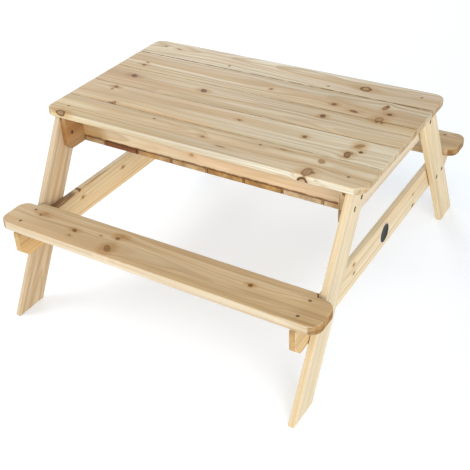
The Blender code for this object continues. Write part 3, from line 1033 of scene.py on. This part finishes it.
# %% [markdown]
# A leg is a flat board that leans inwards, with level ends on the floor and under the tabletop. It could be
# an upright board that is turned and trimmed. A blank as wide as its foot, whose top is pushed sideways, has
# level ends from the start.

# %% Legs
LEG_ANGLE = math.radians(30)


def leaning_leg(name, grain):
    low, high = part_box(name)
    lean = (high.z - low.z) * math.tan(LEG_ANGLE)
    if high.y > 0:
        low.y, lean = low.y + lean, -lean
    else:
        high.y = high.y - lean
    leg = sawn_blank(name + "_planed", low, high)
    edit(leg, "FACE", is_top)
    bpy.ops.transform.translate(value=(0, lean, 0))
    close_edit()
    cut_lengths(leg, (0, lean, high.z - low.z), LENGTHS)
    return leg


print("legs lean by", round(math.degrees(LEG_ANGLE)), "degrees")

# %% [markdown]
# A seat has four round corners, and along its inner edge a tongue that reaches in between the legs. The
# places of the legs could be cut out of a wide blank, but drawing the tongue out of a narrow one takes a
# single extrude, once two bisects have marked its ends.

# %% Seats
SEAT_STEP = 0.014
TONGUE_END = 0.404


def stepped_seat(name, grain):
    low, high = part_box(name)
    inner_side = 1 if high.y < 0 else -1
    if inner_side > 0:
        high.y -= SEAT_STEP
    else:
        low.y += SEAT_STEP
    seat = sawn_blank(name + "_planed", low, high)
    cut_lengths(seat, grain, LENGTHS)
    for x in (-TONGUE_END, TONGUE_END):
        edit(seat, "FACE", lambda face: True)
        bpy.ops.mesh.bisect(plane_co=(x, 0, 0), plane_no=(1, 0, 0))
        close_edit()

    def is_between_legs(face):
        return face.normal.y * inner_side > STRAIGHT and abs(face.calc_center_median().x) < TONGUE_END

    def is_round_corner(edge):
        return is_upright_at(edge, high.x, low.y) or is_upright_at(edge, high.x, high.y)

    extrude(seat, is_between_legs, (0, inner_side * SEAT_STEP, 0))
    bevel(seat, is_round_corner, CORNER_RADIUS, CORNER_STEPS)
    return seat


print("seats step in by", 1000 * SEAT_STEP, "mm")

# %% [markdown]
# The knots and tints below were read from the photo, board by board. Along and across are measured from the
# board's middle, in metres. Chance could set them all, but then no board would be the one in the photo. Those
# that the photo doesn't show share one tint, and get a few knots by seeded chance.

# %% Tints and knots of the boards
HIDDEN_TINT = Tint(srgb(193, 168, 132), end=0.5)
# Edge above 0 paints narrow sides paler, as painted light, and below 0 browner, as painted shade.
TINTS = {
    "top_board_front": Tint(srgb(214, 199, 170), 0.85, edge=0.85, end=0.55),
    "lid_board_1": Tint(srgb(214, 203, 178), 0.5, edge=0.5, end=0.55),
    "lid_board_2": Tint(srgb(208, 192, 164), 0.68, edge=0.5, end=0.6),
    "lid_board_3": Tint(srgb(217, 206, 182), 0.9, broad=0.85, edge=0.5, end=0.2),
    "top_board_back": Tint(srgb(222, 214, 194), 0.9, broad=0.7, edge=0.15, end=0.6),
    "seat_front": Tint(srgb(206, 184, 149), 0.55, 0.0042, 0.5, edge=0.95,
                       darker_spans=((-0.10, -0.38, 0.22), (0.36, 0.42, 0.5))),
    # Painted shade: the back seat's inner edge, turned towards the table, is browner.
    "seat_back": Tint(srgb(198, 177, 147), 0.55, 0.0042, 0.5, edge=-0.7),
    "leg_back_left": Tint(srgb(210, 198, 172), 0.5, broad=0.5, edge=0.5),
    # Painted shade: this leg's inner face lies in the table's shade, so its tint is darker.
    "leg_front_left": Tint(srgb(198, 177, 146), 0.5, 0.0036, 0.3, edge=0.2),
    "leg_front_right": Tint(srgb(215, 200, 170), 0.42, broad=0.4, edge=-0.42),
    "leg_back_right": Tint(srgb(222, 205, 171), 0.42, broad=0.4, edge=-0.3),
    # Painted shade: the beams are darker towards their front ends, under the seats, and the left one towards
    # its upper side.
    "seat_beam_right": Tint(srgb(223, 206, 173), 0.5, broad=0.7, edge=0.8, end=0.7,
                            darker_spans=((-0.385, -0.412, 1.0),)),
    "seat_beam_left": Tint(srgb(221, 198, 158), 0.45, broad=0.5, lean=0.16, edge=0.6, end=0.1,
                           darker_spans=((-0.385, -0.412, 1.0),)),
    # Painted shade: this rail's inner face lies in shade under the tabletop, so its tint is darker than the
    # right rail's.
    "end_rail_left": Tint(srgb(170, 137, 96), 0.5, end=0.1),
    "end_rail_right": Tint(srgb(213, 199, 176), 0.4, broad=0.5),
    # Painted shade and dirt: the front rail is darker towards its upper side under the tabletop, and towards
    # its left end beside the end rail.
    "long_rail_front": Tint(srgb(221, 208, 186), 0.6, lean=0.06,
                            darker_spans=((-0.08, -0.16, 0.55), (-0.29, -0.345, 1.0), (-0.30, -0.35, 0.6))),
}
SLAT_COLOURS = ((214, 194, 164), (150, 104, 76), (222, 204, 172), (215, 194, 160),
                (198, 168, 120), (194, 164, 113), (236, 232, 220), (230, 222, 200))
for number, colour in enumerate(SLAT_COLOURS, 1):
    TINTS[f"floor_slat_{number}"] = Tint(srgb(*colour), end=0.8)

KNOTS = {
    "top_board_front": (
        knot(-0.394, -0.050, 0.0130, 1.2, 0, 0.42, 0.72, 0.009, 0.0125, 0.18),
        knot(0.008, 0.003, 0.0048, 1.60, 17, 0.40, 0.40, soft=0.40),
        knot(0.072, -0.020, 0.0036, 4.30, 1, 0.40, 0.40, soft=0.50, halo=0.6),
        knot(0.212, 0.034, 0.0032, 3.82, 2, 0.40, 0.40, soft=0.50, halo=0.6),
        knot(0.315, 0.024, 0.0116, 0.72, -44, 0.30, 0.36, soft=0.35, halo=0.3),
        knot(0.307, -0.033, 0.0190, 0.70, -8, 0.32, 0.48, soft=0.24, halo=0.7),
        knot(0.320, -0.029, 0.0069, 0.60, -26, 0.46, 0.50, soft=0.50),
        knot(0.303, -0.0505, 0.0100, 1.5, 0, 0.30, 0.92, -0.009, 0.0135, 0.14, 0.3),
    ),
    "lid_board_1": (
        knot(-0.302, -0.047, 0.0100, 0.55, -30, 0.34, 0.68, soft=0.20, halo=0.6),
        knot(-0.312, -0.049, 0.0031, 2.46, 4, 0.60, 0.60, soft=0.50, halo=0.2),
        knot(-0.358, 0.036, 0.0065, 1.48, 30, 0.52, 0.60, soft=0.30, halo=0.8),
        knot(-0.360, 0.021, 0.0074, 0.63, -10, 0.38, 0.40, soft=0.50, halo=0.3),
        knot(0.042, 0.014, 0.0043, 1.53, 20, 0.50, 0.50, soft=0.30, halo=0.8),
        knot(0.227, 0.008, 0.0076, 0.84, -36, 0.62, 0.66, soft=0.45, halo=0.9),
        knot(0.353, -0.026, 0.0165, 0.52, -18, 0.44, 0.66, soft=0.18, halo=0.7),
        knot(0.359, -0.016, 0.0061, 0.75, -40, 0.42, 0.45, soft=0.50, halo=0.6),
        knot(0.376, -0.002, 0.0056, 0.90, -19, 0.85, 0.85, soft=0.45, halo=0.9),
        knot(0.362, 0.024, 0.0150, 0.65, 37, 0.36, 0.38, soft=0.50),
    ),
    "lid_board_2": (
        knot(-0.357, 0.009, 0.0094, 1.40, 37, 0.72, 0.80, soft=0.40, halo=0.9),
        knot(-0.130, 0.012, 0.0086, 1.35, 38, 0.72, 0.80, soft=0.40, halo=0.9),
        knot(0.217, 0.018, 0.0096, 0.85, -26, 0.68, 0.78, soft=0.42, halo=0.9),
        knot(0.349, 0.060, 0.0120, 0.90, 0, 0.30, 0.50, soft=0.20),
        knot(0.348, 0.048, 0.0060, 0.85, -19, 0.62, 0.62, soft=0.40, halo=0.8),
        knot(0.361, 0.048, 0.0055, 0.80, -35, 0.55, 0.55, soft=0.40, halo=0.6),
    ),
    "lid_board_3": (
        knot(-0.377, -0.025, 0.0063, 1.45, 29, 0.50, 0.52, soft=0.40, halo=0.6),
        knot(-0.377, -0.006, 0.0048, 1.59, 18, 0.34, 0.34, soft=0.50, halo=0.4),
        knot(0.026, -0.008, 0.0060, 0.90, -20, 0.46, 0.46, soft=0.40, halo=0.8),
        knot(0.214, -0.017, 0.0080, 0.95, -30, 0.58, 0.60, soft=0.45, halo=0.9),
        knot(0.275, -0.032, 0.0058, 2.27, 9, 0.60, 0.60, soft=0.40, halo=0.8),
        knot(0.339, 0.020, 0.0160, 0.50, 9, 0.38, 0.46, soft=0.30, halo=0.5),
        knot(0.340, 0.031, 0.0076, 0.56, -12, 0.60, 0.60, soft=0.40, halo=0.0),
        knot(0.361, -0.010, 0.0074, 1.00, -12, 0.66, 0.70, soft=0.45, halo=0.9),
        knot(0.349, -0.047, 0.0150, 0.75, 0, 0.30, 0.44, soft=0.20, halo=0.9),
    ),
    "top_board_back": (
        knot(0.249, -0.003, 0.0146, 1.18, 14, 0.26, 0.68, soft=0.22, halo=0.5),
        knot(-0.350, 0.010, 0.0040, 2.6, 10, 0.36, 0.40, soft=0.40),
    ),
    "seat_front": (
        knot(-0.364, 0.016, 0.0086, 1.51, -28, 0.24, 0.34, soft=0.45, halo=0.7),
        knot(-0.370, 0.011, 0.0034, 1.42, 32, 0.55, 0.55, soft=0.50, halo=0.0),
        knot(-0.245, -0.004, 0.0064, 1.41, 27, 0.60, 0.66, soft=0.45, halo=0.9),
        knot(-0.243, -0.027, 0.0038, 1.38, 21, 0.36, 0.36, soft=0.50, halo=0.6),
        knot(-0.126, 0.018, 0.0062, 1.25, 24, 0.52, 0.56, soft=0.45, halo=0.8),
        knot(-0.120, 0.030, 0.0077, 1.31, 22, 0.30, 0.30, soft=0.50),
        knot(-0.123, -0.028, 0.0165, 0.62, -40, 0.44, 0.46, soft=0.30),
        knot(-0.171, 0.008, 0.0036, 1.67, 3, 0.30, 0.30, soft=0.50, halo=0.4),
        knot(0.255, 0.010, 0.0066, 1.13, 23, 0.60, 0.62, soft=0.45, halo=0.9),
    ),
    "long_rail_front": (
        knot(-0.042, -0.014, 0.0052, 1.3, 0, 0.28, 0.36, soft=0.40, halo=0.6),
        knot(0.205, 0.012, 0.0038, 1.4, 0, 0.42, 0.50, soft=0.30),
    ),
    "seat_beam_left": (
        knot(-0.243, 0.038, 0.0042, 1.3, 0, 0.64, 0.70),
        knot(-0.234, 0.011, 0.0042, 1.3, 0, 0.42, 0.44, soft=0.50),
        knot(-0.051, 0.013, 0.0045, 1.3, 0, 0.40, 0.42, soft=0.50),
        knot(-0.165, 0.0386, 0.0013, 50.0, 0, 0.36, 0.42, soft=0.50, halo=0.3),
        knot(-0.335, 0.0400, 0.0105, 7.5, 0, 0.40, 0.48, soft=0.20, halo=0.7),
    ),
    "seat_beam_right": (
        knot(0.205, -0.030, 0.0046, 1.4, 0, 0.60, 0.66, soft=0.30),
        knot(0.200, 0.008, 0.0040, 1.6, 30, 0.28, 0.32, soft=0.50, halo=0.5),
        knot(-0.187, 0.023, 0.0042, 1.4, 0, 0.48, 0.52, soft=0.30),
        knot(-0.184, -0.004, 0.0038, 1.4, 0, 0.48, 0.50, soft=0.30),
    ),
    "leg_front_left": (),
    "leg_front_right": (),
    "leg_back_right": (),
}
print(len(TINTS), "tints and", sum(len(knots) for knots in KNOTS.values()), "knots")

# %% [markdown]
# Lid boards and slats have joints along both sides, the fixed top boards and the long rails along one. The
# legs lie on the outer faces of the end rails and beams, so there the joints follow both edges of the legs,
# and a seat meets the legs at the ends of its tongue. The joints could be found by measuring which boards
# are close, but the boards' names already tell it.

# %% Joints and chance knots
JOINTS = {
    "lid_board": ((-1, 1), TOP_LINE),
    "top_board_front": ((1,), TOP_LINE),
    "top_board_back": ((-1,), BACK_LINE),
    "floor_slat": ((-1, 1), BOX_LINE),
    "long_rail": ((-1,), RAIL_LINE),
}
LEG_FOOT_INSIDE = 0.4341
LEG_WIDTH = 0.080
TONGUE_GAP = 0.0042
KNOT_REACH = 0.08


def joints_of(name):
    """The board's joints: along its sides, or along both edges of the legs that lie on its outer face."""
    low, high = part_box(name)
    if name.startswith(("seat_beam", "end_rail")):
        outer = 1 if high.x > 0 else -1
        cosine, sine = math.cos(LEG_ANGLE), math.sin(LEG_ANGLE)
        offset = (LEG_FOOT_INSIDE - math.tan(LEG_ANGLE) * (low.z + high.z) / 2) * cosine
        return [((side * cosine, sine, 0.0), edge, outer, LEG_LINE)
                for side in (-1, 1) for edge in (offset, offset + LEG_WIDTH)]
    sides, line = next((joint for start, joint in JOINTS.items() if name.startswith(start)), ((), None))
    return [((0.0, float(side), 0.0), None, 0, line) for side in sides]


def tongue_gaps(name):
    """The corners where a seat's tongue ends against the legs, and how far their shadow reaches."""
    if name not in ("seat_front", "seat_back"):
        return []
    low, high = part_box(name)
    y = high.y - TONGUE_GAP if high.y < 0 else low.y + TONGUE_GAP
    return [(Vector((x, y, high.z)), TONGUE_GAP) for x in (-TONGUE_END, TONGUE_END)]


def chance_knots(name, seed):
    """One to three knots for a board that the photo doesn't show."""
    low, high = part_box(name)
    length, width, _ = sorted(high - low, reverse=True)
    rng = random.Random(seed)
    knots = []
    for _ in range(rng.randint(1, 3)):
        along = rng.uniform(-0.42, 0.42) * length
        across = rng.uniform(-0.3, 0.3) * min(width, KNOT_REACH)
        dark = rng.uniform(0.4, 0.7)
        radius = rng.uniform(0.003, 0.008)
        knots.append(knot(along, across, radius, rng.uniform(1.1, 1.6), 0, dark, dark + 0.1))
    return knots


print("joints on", ", ".join(JOINTS))

# %% [markdown]
# Every board now goes through the same shop: shaped, eased, bored, warped, painted with its wood, and put in
# the place of its CAD node, which is hidden. It rides on the body that the node belongs to. The boards could
# each have their own cell, but one loop gives all the same finish, and a plan for each kind says where they
# differ.

# %% Make the boards
TOP_EASE = 0.0025
FRAME_EASE = 0.0015
X, Y, Z = (1, 0, 0), (0, 1, 0), (0, 0, 1)
FRONT_LEG = (0, math.sin(LEG_ANGLE), math.cos(LEG_ANGLE))
BACK_LEG = (0, -math.sin(LEG_ANGLE), math.cos(LEG_ANGLE))


@dataclass
class Plan:
    """How one kind of board is made: its shape, the way of its grain and face, and its easing. Its slot is
    not used.
    """

    shape: object
    grain: tuple
    face: tuple
    ease: float
    slot: str


PLANS = {
    "top_board": Plan(outer_top_board, X, Z, TOP_EASE, "top_wood"),
    "lid_board": Plan(lid_board, X, Z, TOP_EASE, "lid_wood"),
    "lid_batten": Plan(plain_board, Y, Z, FRAME_EASE, "batten_wood"),
    "leg_front": Plan(leaning_leg, FRONT_LEG, X, FRAME_EASE, "leg_wood"),
    "leg_back": Plan(leaning_leg, BACK_LEG, X, FRAME_EASE, "leg_wood"),
    "end_rail": Plan(chamfered_board, Y, X, FRAME_EASE, "rail_wood"),
    "long_rail": Plan(plain_board, X, (0, -1, 0), FRAME_EASE, "rail_wood"),
    "floor_slat": Plan(plain_board, Y, Z, FRAME_EASE, "floor_wood"),
    "seat_beam": Plan(chamfered_board, Y, X, FRAME_EASE, "beam_wood"),
    "seat": Plan(stepped_seat, X, Z, TOP_EASE, "seat_wood"),
}


def plan_of(name):
    return next(plan for start, plan in PLANS.items() if name.startswith(start))


def body_of(name):
    return nodes[name]["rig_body"]


def fixings_of(board):
    """The fixings whose heads are in this board, by their names."""
    kind, *where = board.split("_")
    if kind == "top":
        starts = (f"top_end_screw_{where[-1]}", f"top_rail_screw_{where[-1]}")
    elif kind == "seat" and where[0] != "beam":
        starts = (f"seat_screw_{where[0]}",)
    elif kind == "leg":
        starts = (f"top_bolt_{where[0]}_{where[1]}", f"beam_bolt_{where[0]}_{where[1]}")
    else:
        return []
    return [name for name in sorted(nodes) if name.startswith(starts)]


board_names = [name for name in sorted(nodes) if "screw" not in name and "bolt" not in name]
for seed, name in enumerate(board_names, 1):
    plan = plan_of(name)
    fixings = fixings_of(name)
    board = plan.shape(name, plan.grain)
    ease_edges(board, plan.ease)
    bore(board, name, fixings)
    warp_and_smooth(board)
    knots = KNOTS[name] if name in KNOTS else chance_knots(name, seed)
    tint = TINTS.get(name, HIDDEN_TINT)
    bores = [(head_point(fixing, *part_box(name)), bore_radius(fixing)) for fixing in fixings]
    bores += tongue_gaps(name)
    paint(board, fir(name, plan.grain, plan.face, tint, knots, joints_of(name), bores, seed))
    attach(board, body_of(name))
    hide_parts(name)
for cutter in cutters.values():
    bpy.data.objects.remove(cutter)
print(len(board_names), "boards")

# %% [markdown]
# The legs are held by socket bolts sunk in their pockets, with a nut on the far side of the rail. Each is
# modelled once, standing at the origin with its head up: the rim is bevelled, a six-sided plug is taken out
# of the head for the key, and inset and extrude draw the shank from the head's underside. An outline could be
# spun instead, but the recess would still have to be cut. The key's recess, the head's side and the nut get a
# number that the steel reads and paints darker, as dirt and painted shade.

# %% The socket bolt
BOLT_SIDES = 36
HEAD_RADIUS = 0.0050
HEAD_HEIGHT = 0.0032
RIM_ROUND = 0.0008
KEY_RADIUS = 0.0026
KEY_DEPTH = 0.0020
SHANK_RADIUS = 0.0025
NUT_RADIUS = 0.0050
NUT_HEIGHT = 0.0022
NUT_GRIME_AND_SHADE = 0.7
RECESS_TOP = 0.05
RECESS_BOTTOM = 1.1
RIM_SHARE = 0.98
TINY = 1e-5


def cylinder(name, sides, radius, bottom, top):
    return add(name, bpy.ops.mesh.primitive_cylinder_add, vertices=sides, radius=radius, depth=top - bottom,
               location=(0, 0, (top + bottom) / 2))


def draw_down(piece, radius, bottom):
    """Draws a narrower shank out of the lowest face, down to the given height."""
    lowest = min(vertex.co.z for vertex in piece.data.vertices)
    widest = max(vertex.co.x for vertex in piece.data.vertices if vertex.co.z < lowest + TINY)

    def is_lowest(face):
        return face.normal.z < -STRAIGHT and face.calc_center_median().z < lowest + TINY

    edit(piece, "FACE", is_lowest)
    bpy.ops.mesh.inset(thickness=widest - radius)
    bpy.ops.mesh.extrude_region_move(TRANSFORM_OT_translate={"value": (0, 0, bottom - lowest)})
    close_edit()


def mark_faces(piece, label, wanted):
    """Gives every face a number by this label, 1 if it is wanted and 0 if not, for the material to read."""
    marks = piece.data.attributes.new(label, "FLOAT", "FACE")
    marks.data.foreach_set("value", [float(wanted(face)) for face in piece.data.polygons])


def is_in_recess(radius, depth):
    def wanted(face):
        depth_share = -face.center.z / depth
        return RECESS_TOP < depth_share < RECESS_BOTTOM and face.center.xy.length < radius
    return wanted


def is_rim_at(height, radius):
    def wanted(edge):
        return all(abs(v.co.z - height) < TINY and v.co.xy.length > radius * RIM_SHARE for v in edge.verts)
    return wanted


def socket_bolt(length):
    """A bolt whose head's top is at z 0, with its nut at the end of its length."""
    bolt = cylinder("socket_bolt", BOLT_SIDES, HEAD_RADIUS, -HEAD_HEIGHT, 0)
    bevel(bolt, is_rim_at(0, HEAD_RADIUS), RIM_ROUND, 3)
    take_out(bolt, cylinder("key", 6, KEY_RADIUS, -KEY_DEPTH, KEY_DEPTH))
    is_key = is_in_recess(KEY_RADIUS, KEY_DEPTH)
    # Dirt and painted shade: the key's recess and the head's side in its pocket are marked dark.
    mark_faces(bolt, "grime_and_shade", lambda face: is_key(face) or face.center.xy.length > HEAD_RADIUS - RIM_ROUND)
    draw_down(bolt, SHANK_RADIUS, -length)
    nut = cylinder("nut", 6, NUT_RADIUS, -length, -length + NUT_HEIGHT)
    bevel(nut, is_rim_at(-length, NUT_RADIUS), RIM_ROUND, 2)
    # Dirt and painted shade: the nut is marked mostly dark.
    mark_faces(nut, "grime_and_shade", lambda face: NUT_GRIME_AND_SHADE)
    pick(bolt, nut)
    bpy.ops.object.join()
    smooth(bolt)
    return bolt


low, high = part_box("top_bolt_front_right_1")
models = {"bolt": socket_bolt(high.x - low.x)}
print("bolt of", len(models["bolt"].data.polygons), "faces")

# %% [markdown]
# Countersunk screws hold the tabletop, the seats and the lid's battens. A screw is a cone with a flat top,
# sunk just under the wood, and its cross recess is cut by two tapering blades, one turned by a quarter. The
# cross could be painted on, but a cut one has its own shade from every side. The seats' screws are darker all
# over, because feet and clothes rub dirt into them.

# %% The cross-head screw
SCREW_SIDES = 32
CONE_TIP = 0.5
CONE_DEPTH = 0.6
SCREW_RIM = 0.08
SCREW_SHANK = 0.42
SLOT_WIDTH = 0.20
SLOT_LENGTH = 1.05
SLOT_DEPTH = 0.45
SLOT_TAPER = (0.35, 0.6, 1)
CROSS_REACH = 0.58
WORN = {"seat": 0.35, "top": 0.0}


def cross_screw(name, radius, length, worn=0.0):
    """A screw whose head's top is at z 0. Worn says how much dirt darkens the whole head."""
    depth = radius * CONE_DEPTH
    screw = add(name, bpy.ops.mesh.primitive_cone_add, vertices=SCREW_SIDES, radius1=radius * CONE_TIP,
                radius2=radius, depth=depth, location=(0, 0, -depth / 2))
    bevel(screw, is_rim_at(0, radius), radius * SCREW_RIM, 2)
    size = (radius * SLOT_LENGTH, radius * SLOT_WIDTH, radius * SLOT_DEPTH * 2)
    for quarter in (0, 90):
        blade = add("blade", bpy.ops.mesh.primitive_cube_add, size=1, scale=size)
        edit(blade, "FACE", lambda face: face.normal.z < -STRAIGHT)
        bpy.ops.transform.resize(value=SLOT_TAPER)
        close_edit()
        blade.rotation_euler.z = math.radians(quarter)
        bpy.ops.object.transform_apply()
        take_out(screw, blade)
    is_cross = is_in_recess(radius * CROSS_REACH, radius * SLOT_DEPTH)
    # Dirt and painted shade in the cross recess; dirt alone darkens worn heads.
    mark_faces(screw, "grime_and_shade", lambda face: 1.0 if is_cross(face) else worn)
    draw_down(screw, radius * SCREW_SHANK, -length)
    smooth(screw)
    return screw


for kind, example in SCREW_EXAMPLES.items():
    low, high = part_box(example)
    models[kind] = cross_screw(kind + "_model", screw_radius(example), high.z - low.z, WORN[kind])
print("models:", {kind: len(model.data.polygons) for kind, model in models.items()})

# %% [markdown]
# The fixings are steel with a yellow plating, dulled by weather, rough at the scale of the plating, and dark
# in their recesses and round the bolt heads' sides, with dirt and painted shade. Noise at two sizes gives the
# cast and the roughness. A plain grey metal would look like plastic beside the wood.

# %% Plated steel
CLOUD_SCALE = (350.0, 350.0, 350.0)
GRIT_SCALE = (2600.0, 2600.0, 2600.0)
PLATING = (0.41, 0.30, 0.165, 1)
DULL_PLATING = (0.33, 0.235, 0.11, 1)
GRIME_AND_SHADE_TINT = (0.11, 0.068, 0.034, 1)
CLOUD_EDGE = (0.35, 0.65)
SHEEN = 0.25
STEEL_ROUGHNESS = (0.30, 0.48)
STEEL_BUMP = (0.2, 0.0001)


def plated_steel():
    material, tree, shader, place = new_material("plated_steel")
    cloud = noise(tree, place["Object"], CLOUD_SCALE, 2.0)["Fac"]
    grit = noise(tree, place["Object"], GRIT_SCALE, 2.0)["Fac"]
    grime_and_shade = node(tree, "ShaderNodeAttribute", {}, attribute_name="grime_and_shade").outputs["Fac"]
    colour = mixed(tree, between(tree, cloud, *CLOUD_EDGE), PLATING, DULL_PLATING)
    # Marked faces are painted darker: dirt and painted shade.
    plug(tree, shader.inputs["Base Color"], multiplied_in(tree, grime_and_shade, colour, GRIME_AND_SHADE_TINT))
    plug(tree, shader.inputs["Metallic"], scaled(tree, grime_and_shade, -SHEEN, SHEEN))
    plug(tree, shader.inputs["Roughness"], scaled(tree, grit, *STEEL_ROUGHNESS))
    emboss(tree, shader, grit, *STEEL_BUMP)
    return material


steel = plated_steel()
for model in models.values():
    paint(model, steel)
print("steel for", *models)

# %% [markdown]
# Now every CAD fixing gets its model, standing where the CAD's is and facing the same way. Each is turned in
# its hole by chance, because nobody lines up the slots.

# %% Set the fixings
fixing_names = [name for name in sorted(nodes) if "screw" in name or "bolt" in name]
for name in fixing_names:
    spin = Matrix.Rotation(random.Random(name).uniform(0, math.pi), 4, "Z")
    place = Matrix.Translation(head_point(name, *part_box(name)))
    piece = copy_to(models[kind_of(name)], name + "_steel", place @ fixing_turn(name) @ spin)
    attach(piece, body_of(name))
    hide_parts(name)
print(len(fixing_names), "fixings")

# %% [markdown]
# The small fastenings that the CAD leaves out: nails up through the floor slats into the long rails, and
# screws up through the battens into the lid. Their heads show only from below. They are grouped, one piece
# for a slat or a batten, because nobody handles them alone.

# %% Nails and batten screws
NAIL_SIDES = 16
NAIL_RADIUS = 0.0032
NAIL_HEAD = 0.0012
NAIL_LENGTH = 0.030
NAIL_RIM = 0.25
NAIL_SHANK = 0.4
NAIL_SHARE = 0.27
BATTEN_SCREW_RADIUS = 0.0034
BATTEN_SCREW_LENGTH = 0.026
BATTEN_SCREW_SHARE = 0.25
HEAD_PROUD = 0.0004
UPSIDE_DOWN = Matrix.Rotation(math.radians(180), 4, "X")


def nail():
    piece = cylinder("nail", NAIL_SIDES, NAIL_RADIUS, -NAIL_HEAD, 0)
    bevel(piece, is_rim_at(0, NAIL_RADIUS), NAIL_RADIUS * NAIL_RIM, 2)
    draw_down(piece, NAIL_RADIUS * NAIL_SHANK, -NAIL_LENGTH)
    smooth(piece)
    return piece


def from_below(model, x, y, z):
    """A copy of the model driven up at this place, its head just proud of the wood."""
    place = Matrix.Translation((x, y, z - HEAD_PROUD))
    return copy_to(model, model.name + "_copy", place @ UPSIDE_DOWN)


def join_group(name, pieces, body):
    pick(*pieces)
    bpy.ops.object.join()
    group = bpy.context.object
    group.name = name
    group.data.name = name
    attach(group, body)


models["nail"] = nail()
models["batten"] = cross_screw("batten_screw", BATTEN_SCREW_RADIUS, BATTEN_SCREW_LENGTH)
for kind in ("nail", "batten"):
    paint(models[kind], steel)

rail_low, rail_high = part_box("long_rail_front")
rail_y = -(rail_low.y + rail_high.y) / 2
slat_names = [name for name in board_names if name.startswith("floor_slat")]
for name in slat_names:
    low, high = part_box(name)
    nails = [from_below(models["nail"], low.x + share * (high.x - low.x), y, low.z)
             for share in (NAIL_SHARE, 1 - NAIL_SHARE) for y in (-rail_y, rail_y)]
    join_group(name + "_nails", nails, "table")

lid_boxes = [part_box(name) for name in board_names if name.startswith("lid_board")]
for batten in ("lid_batten_left", "lid_batten_right"):
    low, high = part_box(batten)
    group = [from_below(models["batten"], (low.x + high.x) / 2, front.y + share * (back.y - front.y), low.z)
             for front, back in lid_boxes for share in (BATTEN_SCREW_SHARE, 1 - BATTEN_SCREW_SHARE)]
    join_group(batten + "_screws", group, "lid")
for model in models.values():
    bpy.data.objects.remove(model)
print(len(slat_names), "groups of nails and 2 of screws")

# %% [markdown]
# On the outside of the right seat beam is a round dark plate. Here it is plain. It starts as a thin disc: its
# edge is rounded, and its face is inset twice, so that a low rim stands round a shallow dish. It could be
# painted on the beam, but only a raised rim catches the light.

# %% The round plate
PLATE_SIDES = 96
PLATE_RADIUS = 0.0275
PLATE_THICKNESS = 0.0016
PLATE_RIM = 0.0015
PLATE_DISH = 0.0005
PLATE_HEIGHT = 0.212
FLAT = 0.99


def round_plate():
    plate = cylinder("beam_plate", PLATE_SIDES, PLATE_RADIUS, 0, PLATE_THICKNESS)
    bevel(plate, is_rim_at(PLATE_THICKNESS, PLATE_RADIUS), PLATE_DISH, 3)
    edit(plate, "FACE", lambda face: face.normal.z > FLAT)
    bpy.ops.mesh.inset(thickness=PLATE_RIM)
    bpy.ops.mesh.inset(thickness=PLATE_DISH * 2)
    bpy.ops.transform.translate(value=(0, 0, -PLATE_DISH))
    close_edit()
    mark_faces(plate, "bare", lambda face: face.center.xy.length > PLATE_RADIUS - PLATE_RIM)
    smooth(plate)
    return plate


plate_model = round_plate()
low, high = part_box("seat_beam_right")
place = Matrix.Translation((high.x, 0, PLATE_HEIGHT))
plate = copy_to(plate_model, "round_plate", place @ Matrix.Rotation(math.radians(90), 4, "Y"))
bpy.data.objects.remove(plate_model)
print("plate of", len(plate.data.polygons), "faces")

# %% [markdown]
# The plate is enamelled, nearly black, with the faint orange peel of sprayed paint, and its rim is worn down
# to bare metal. The rim could have a material of its own, but a mark on its faces keeps the plate to one.

# %% Dark enamel
ENAMEL_SCALE = (90.0, 90.0, 90.0)
PEEL_SCALE = (900.0, 900.0, 900.0)
ENAMEL = (0.020, 0.017, 0.016, 1)
FADED_ENAMEL = (0.042, 0.036, 0.034, 1)
BARE_METAL = (0.62, 0.57, 0.48, 1)
ENAMEL_ROUGHNESS = (0.25, 0.42)
ENAMEL_GLOSS = 0.14
PEEL_BUMP = (0.15, 0.0001)


def dark_enamel():
    material, tree, shader, place = new_material("dark_enamel")
    cloud = noise(tree, place["Object"], ENAMEL_SCALE, 3.0)["Fac"]
    peel = noise(tree, place["Object"], PEEL_SCALE, 1.0)["Fac"]
    bare = node(tree, "ShaderNodeAttribute", {}, attribute_name="bare").outputs["Fac"]
    colour = mixed(tree, cloud, ENAMEL, FADED_ENAMEL)
    plug(tree, shader.inputs["Base Color"], mixed(tree, bare, colour, BARE_METAL))
    plug(tree, shader.inputs["Roughness"], scaled(tree, cloud, *ENAMEL_ROUGHNESS))
    shader.inputs["Specular IOR Level"].default_value = ENAMEL_GLOSS
    emboss(tree, shader, peel, *PEEL_BUMP)
    return material


paint(plate, dark_enamel())
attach(plate, "table")
print("plate painted with", plate.data.materials[0].name)

# %% [markdown]
# Last, the box of the dressed table is measured.

# %% Finish
low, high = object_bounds()
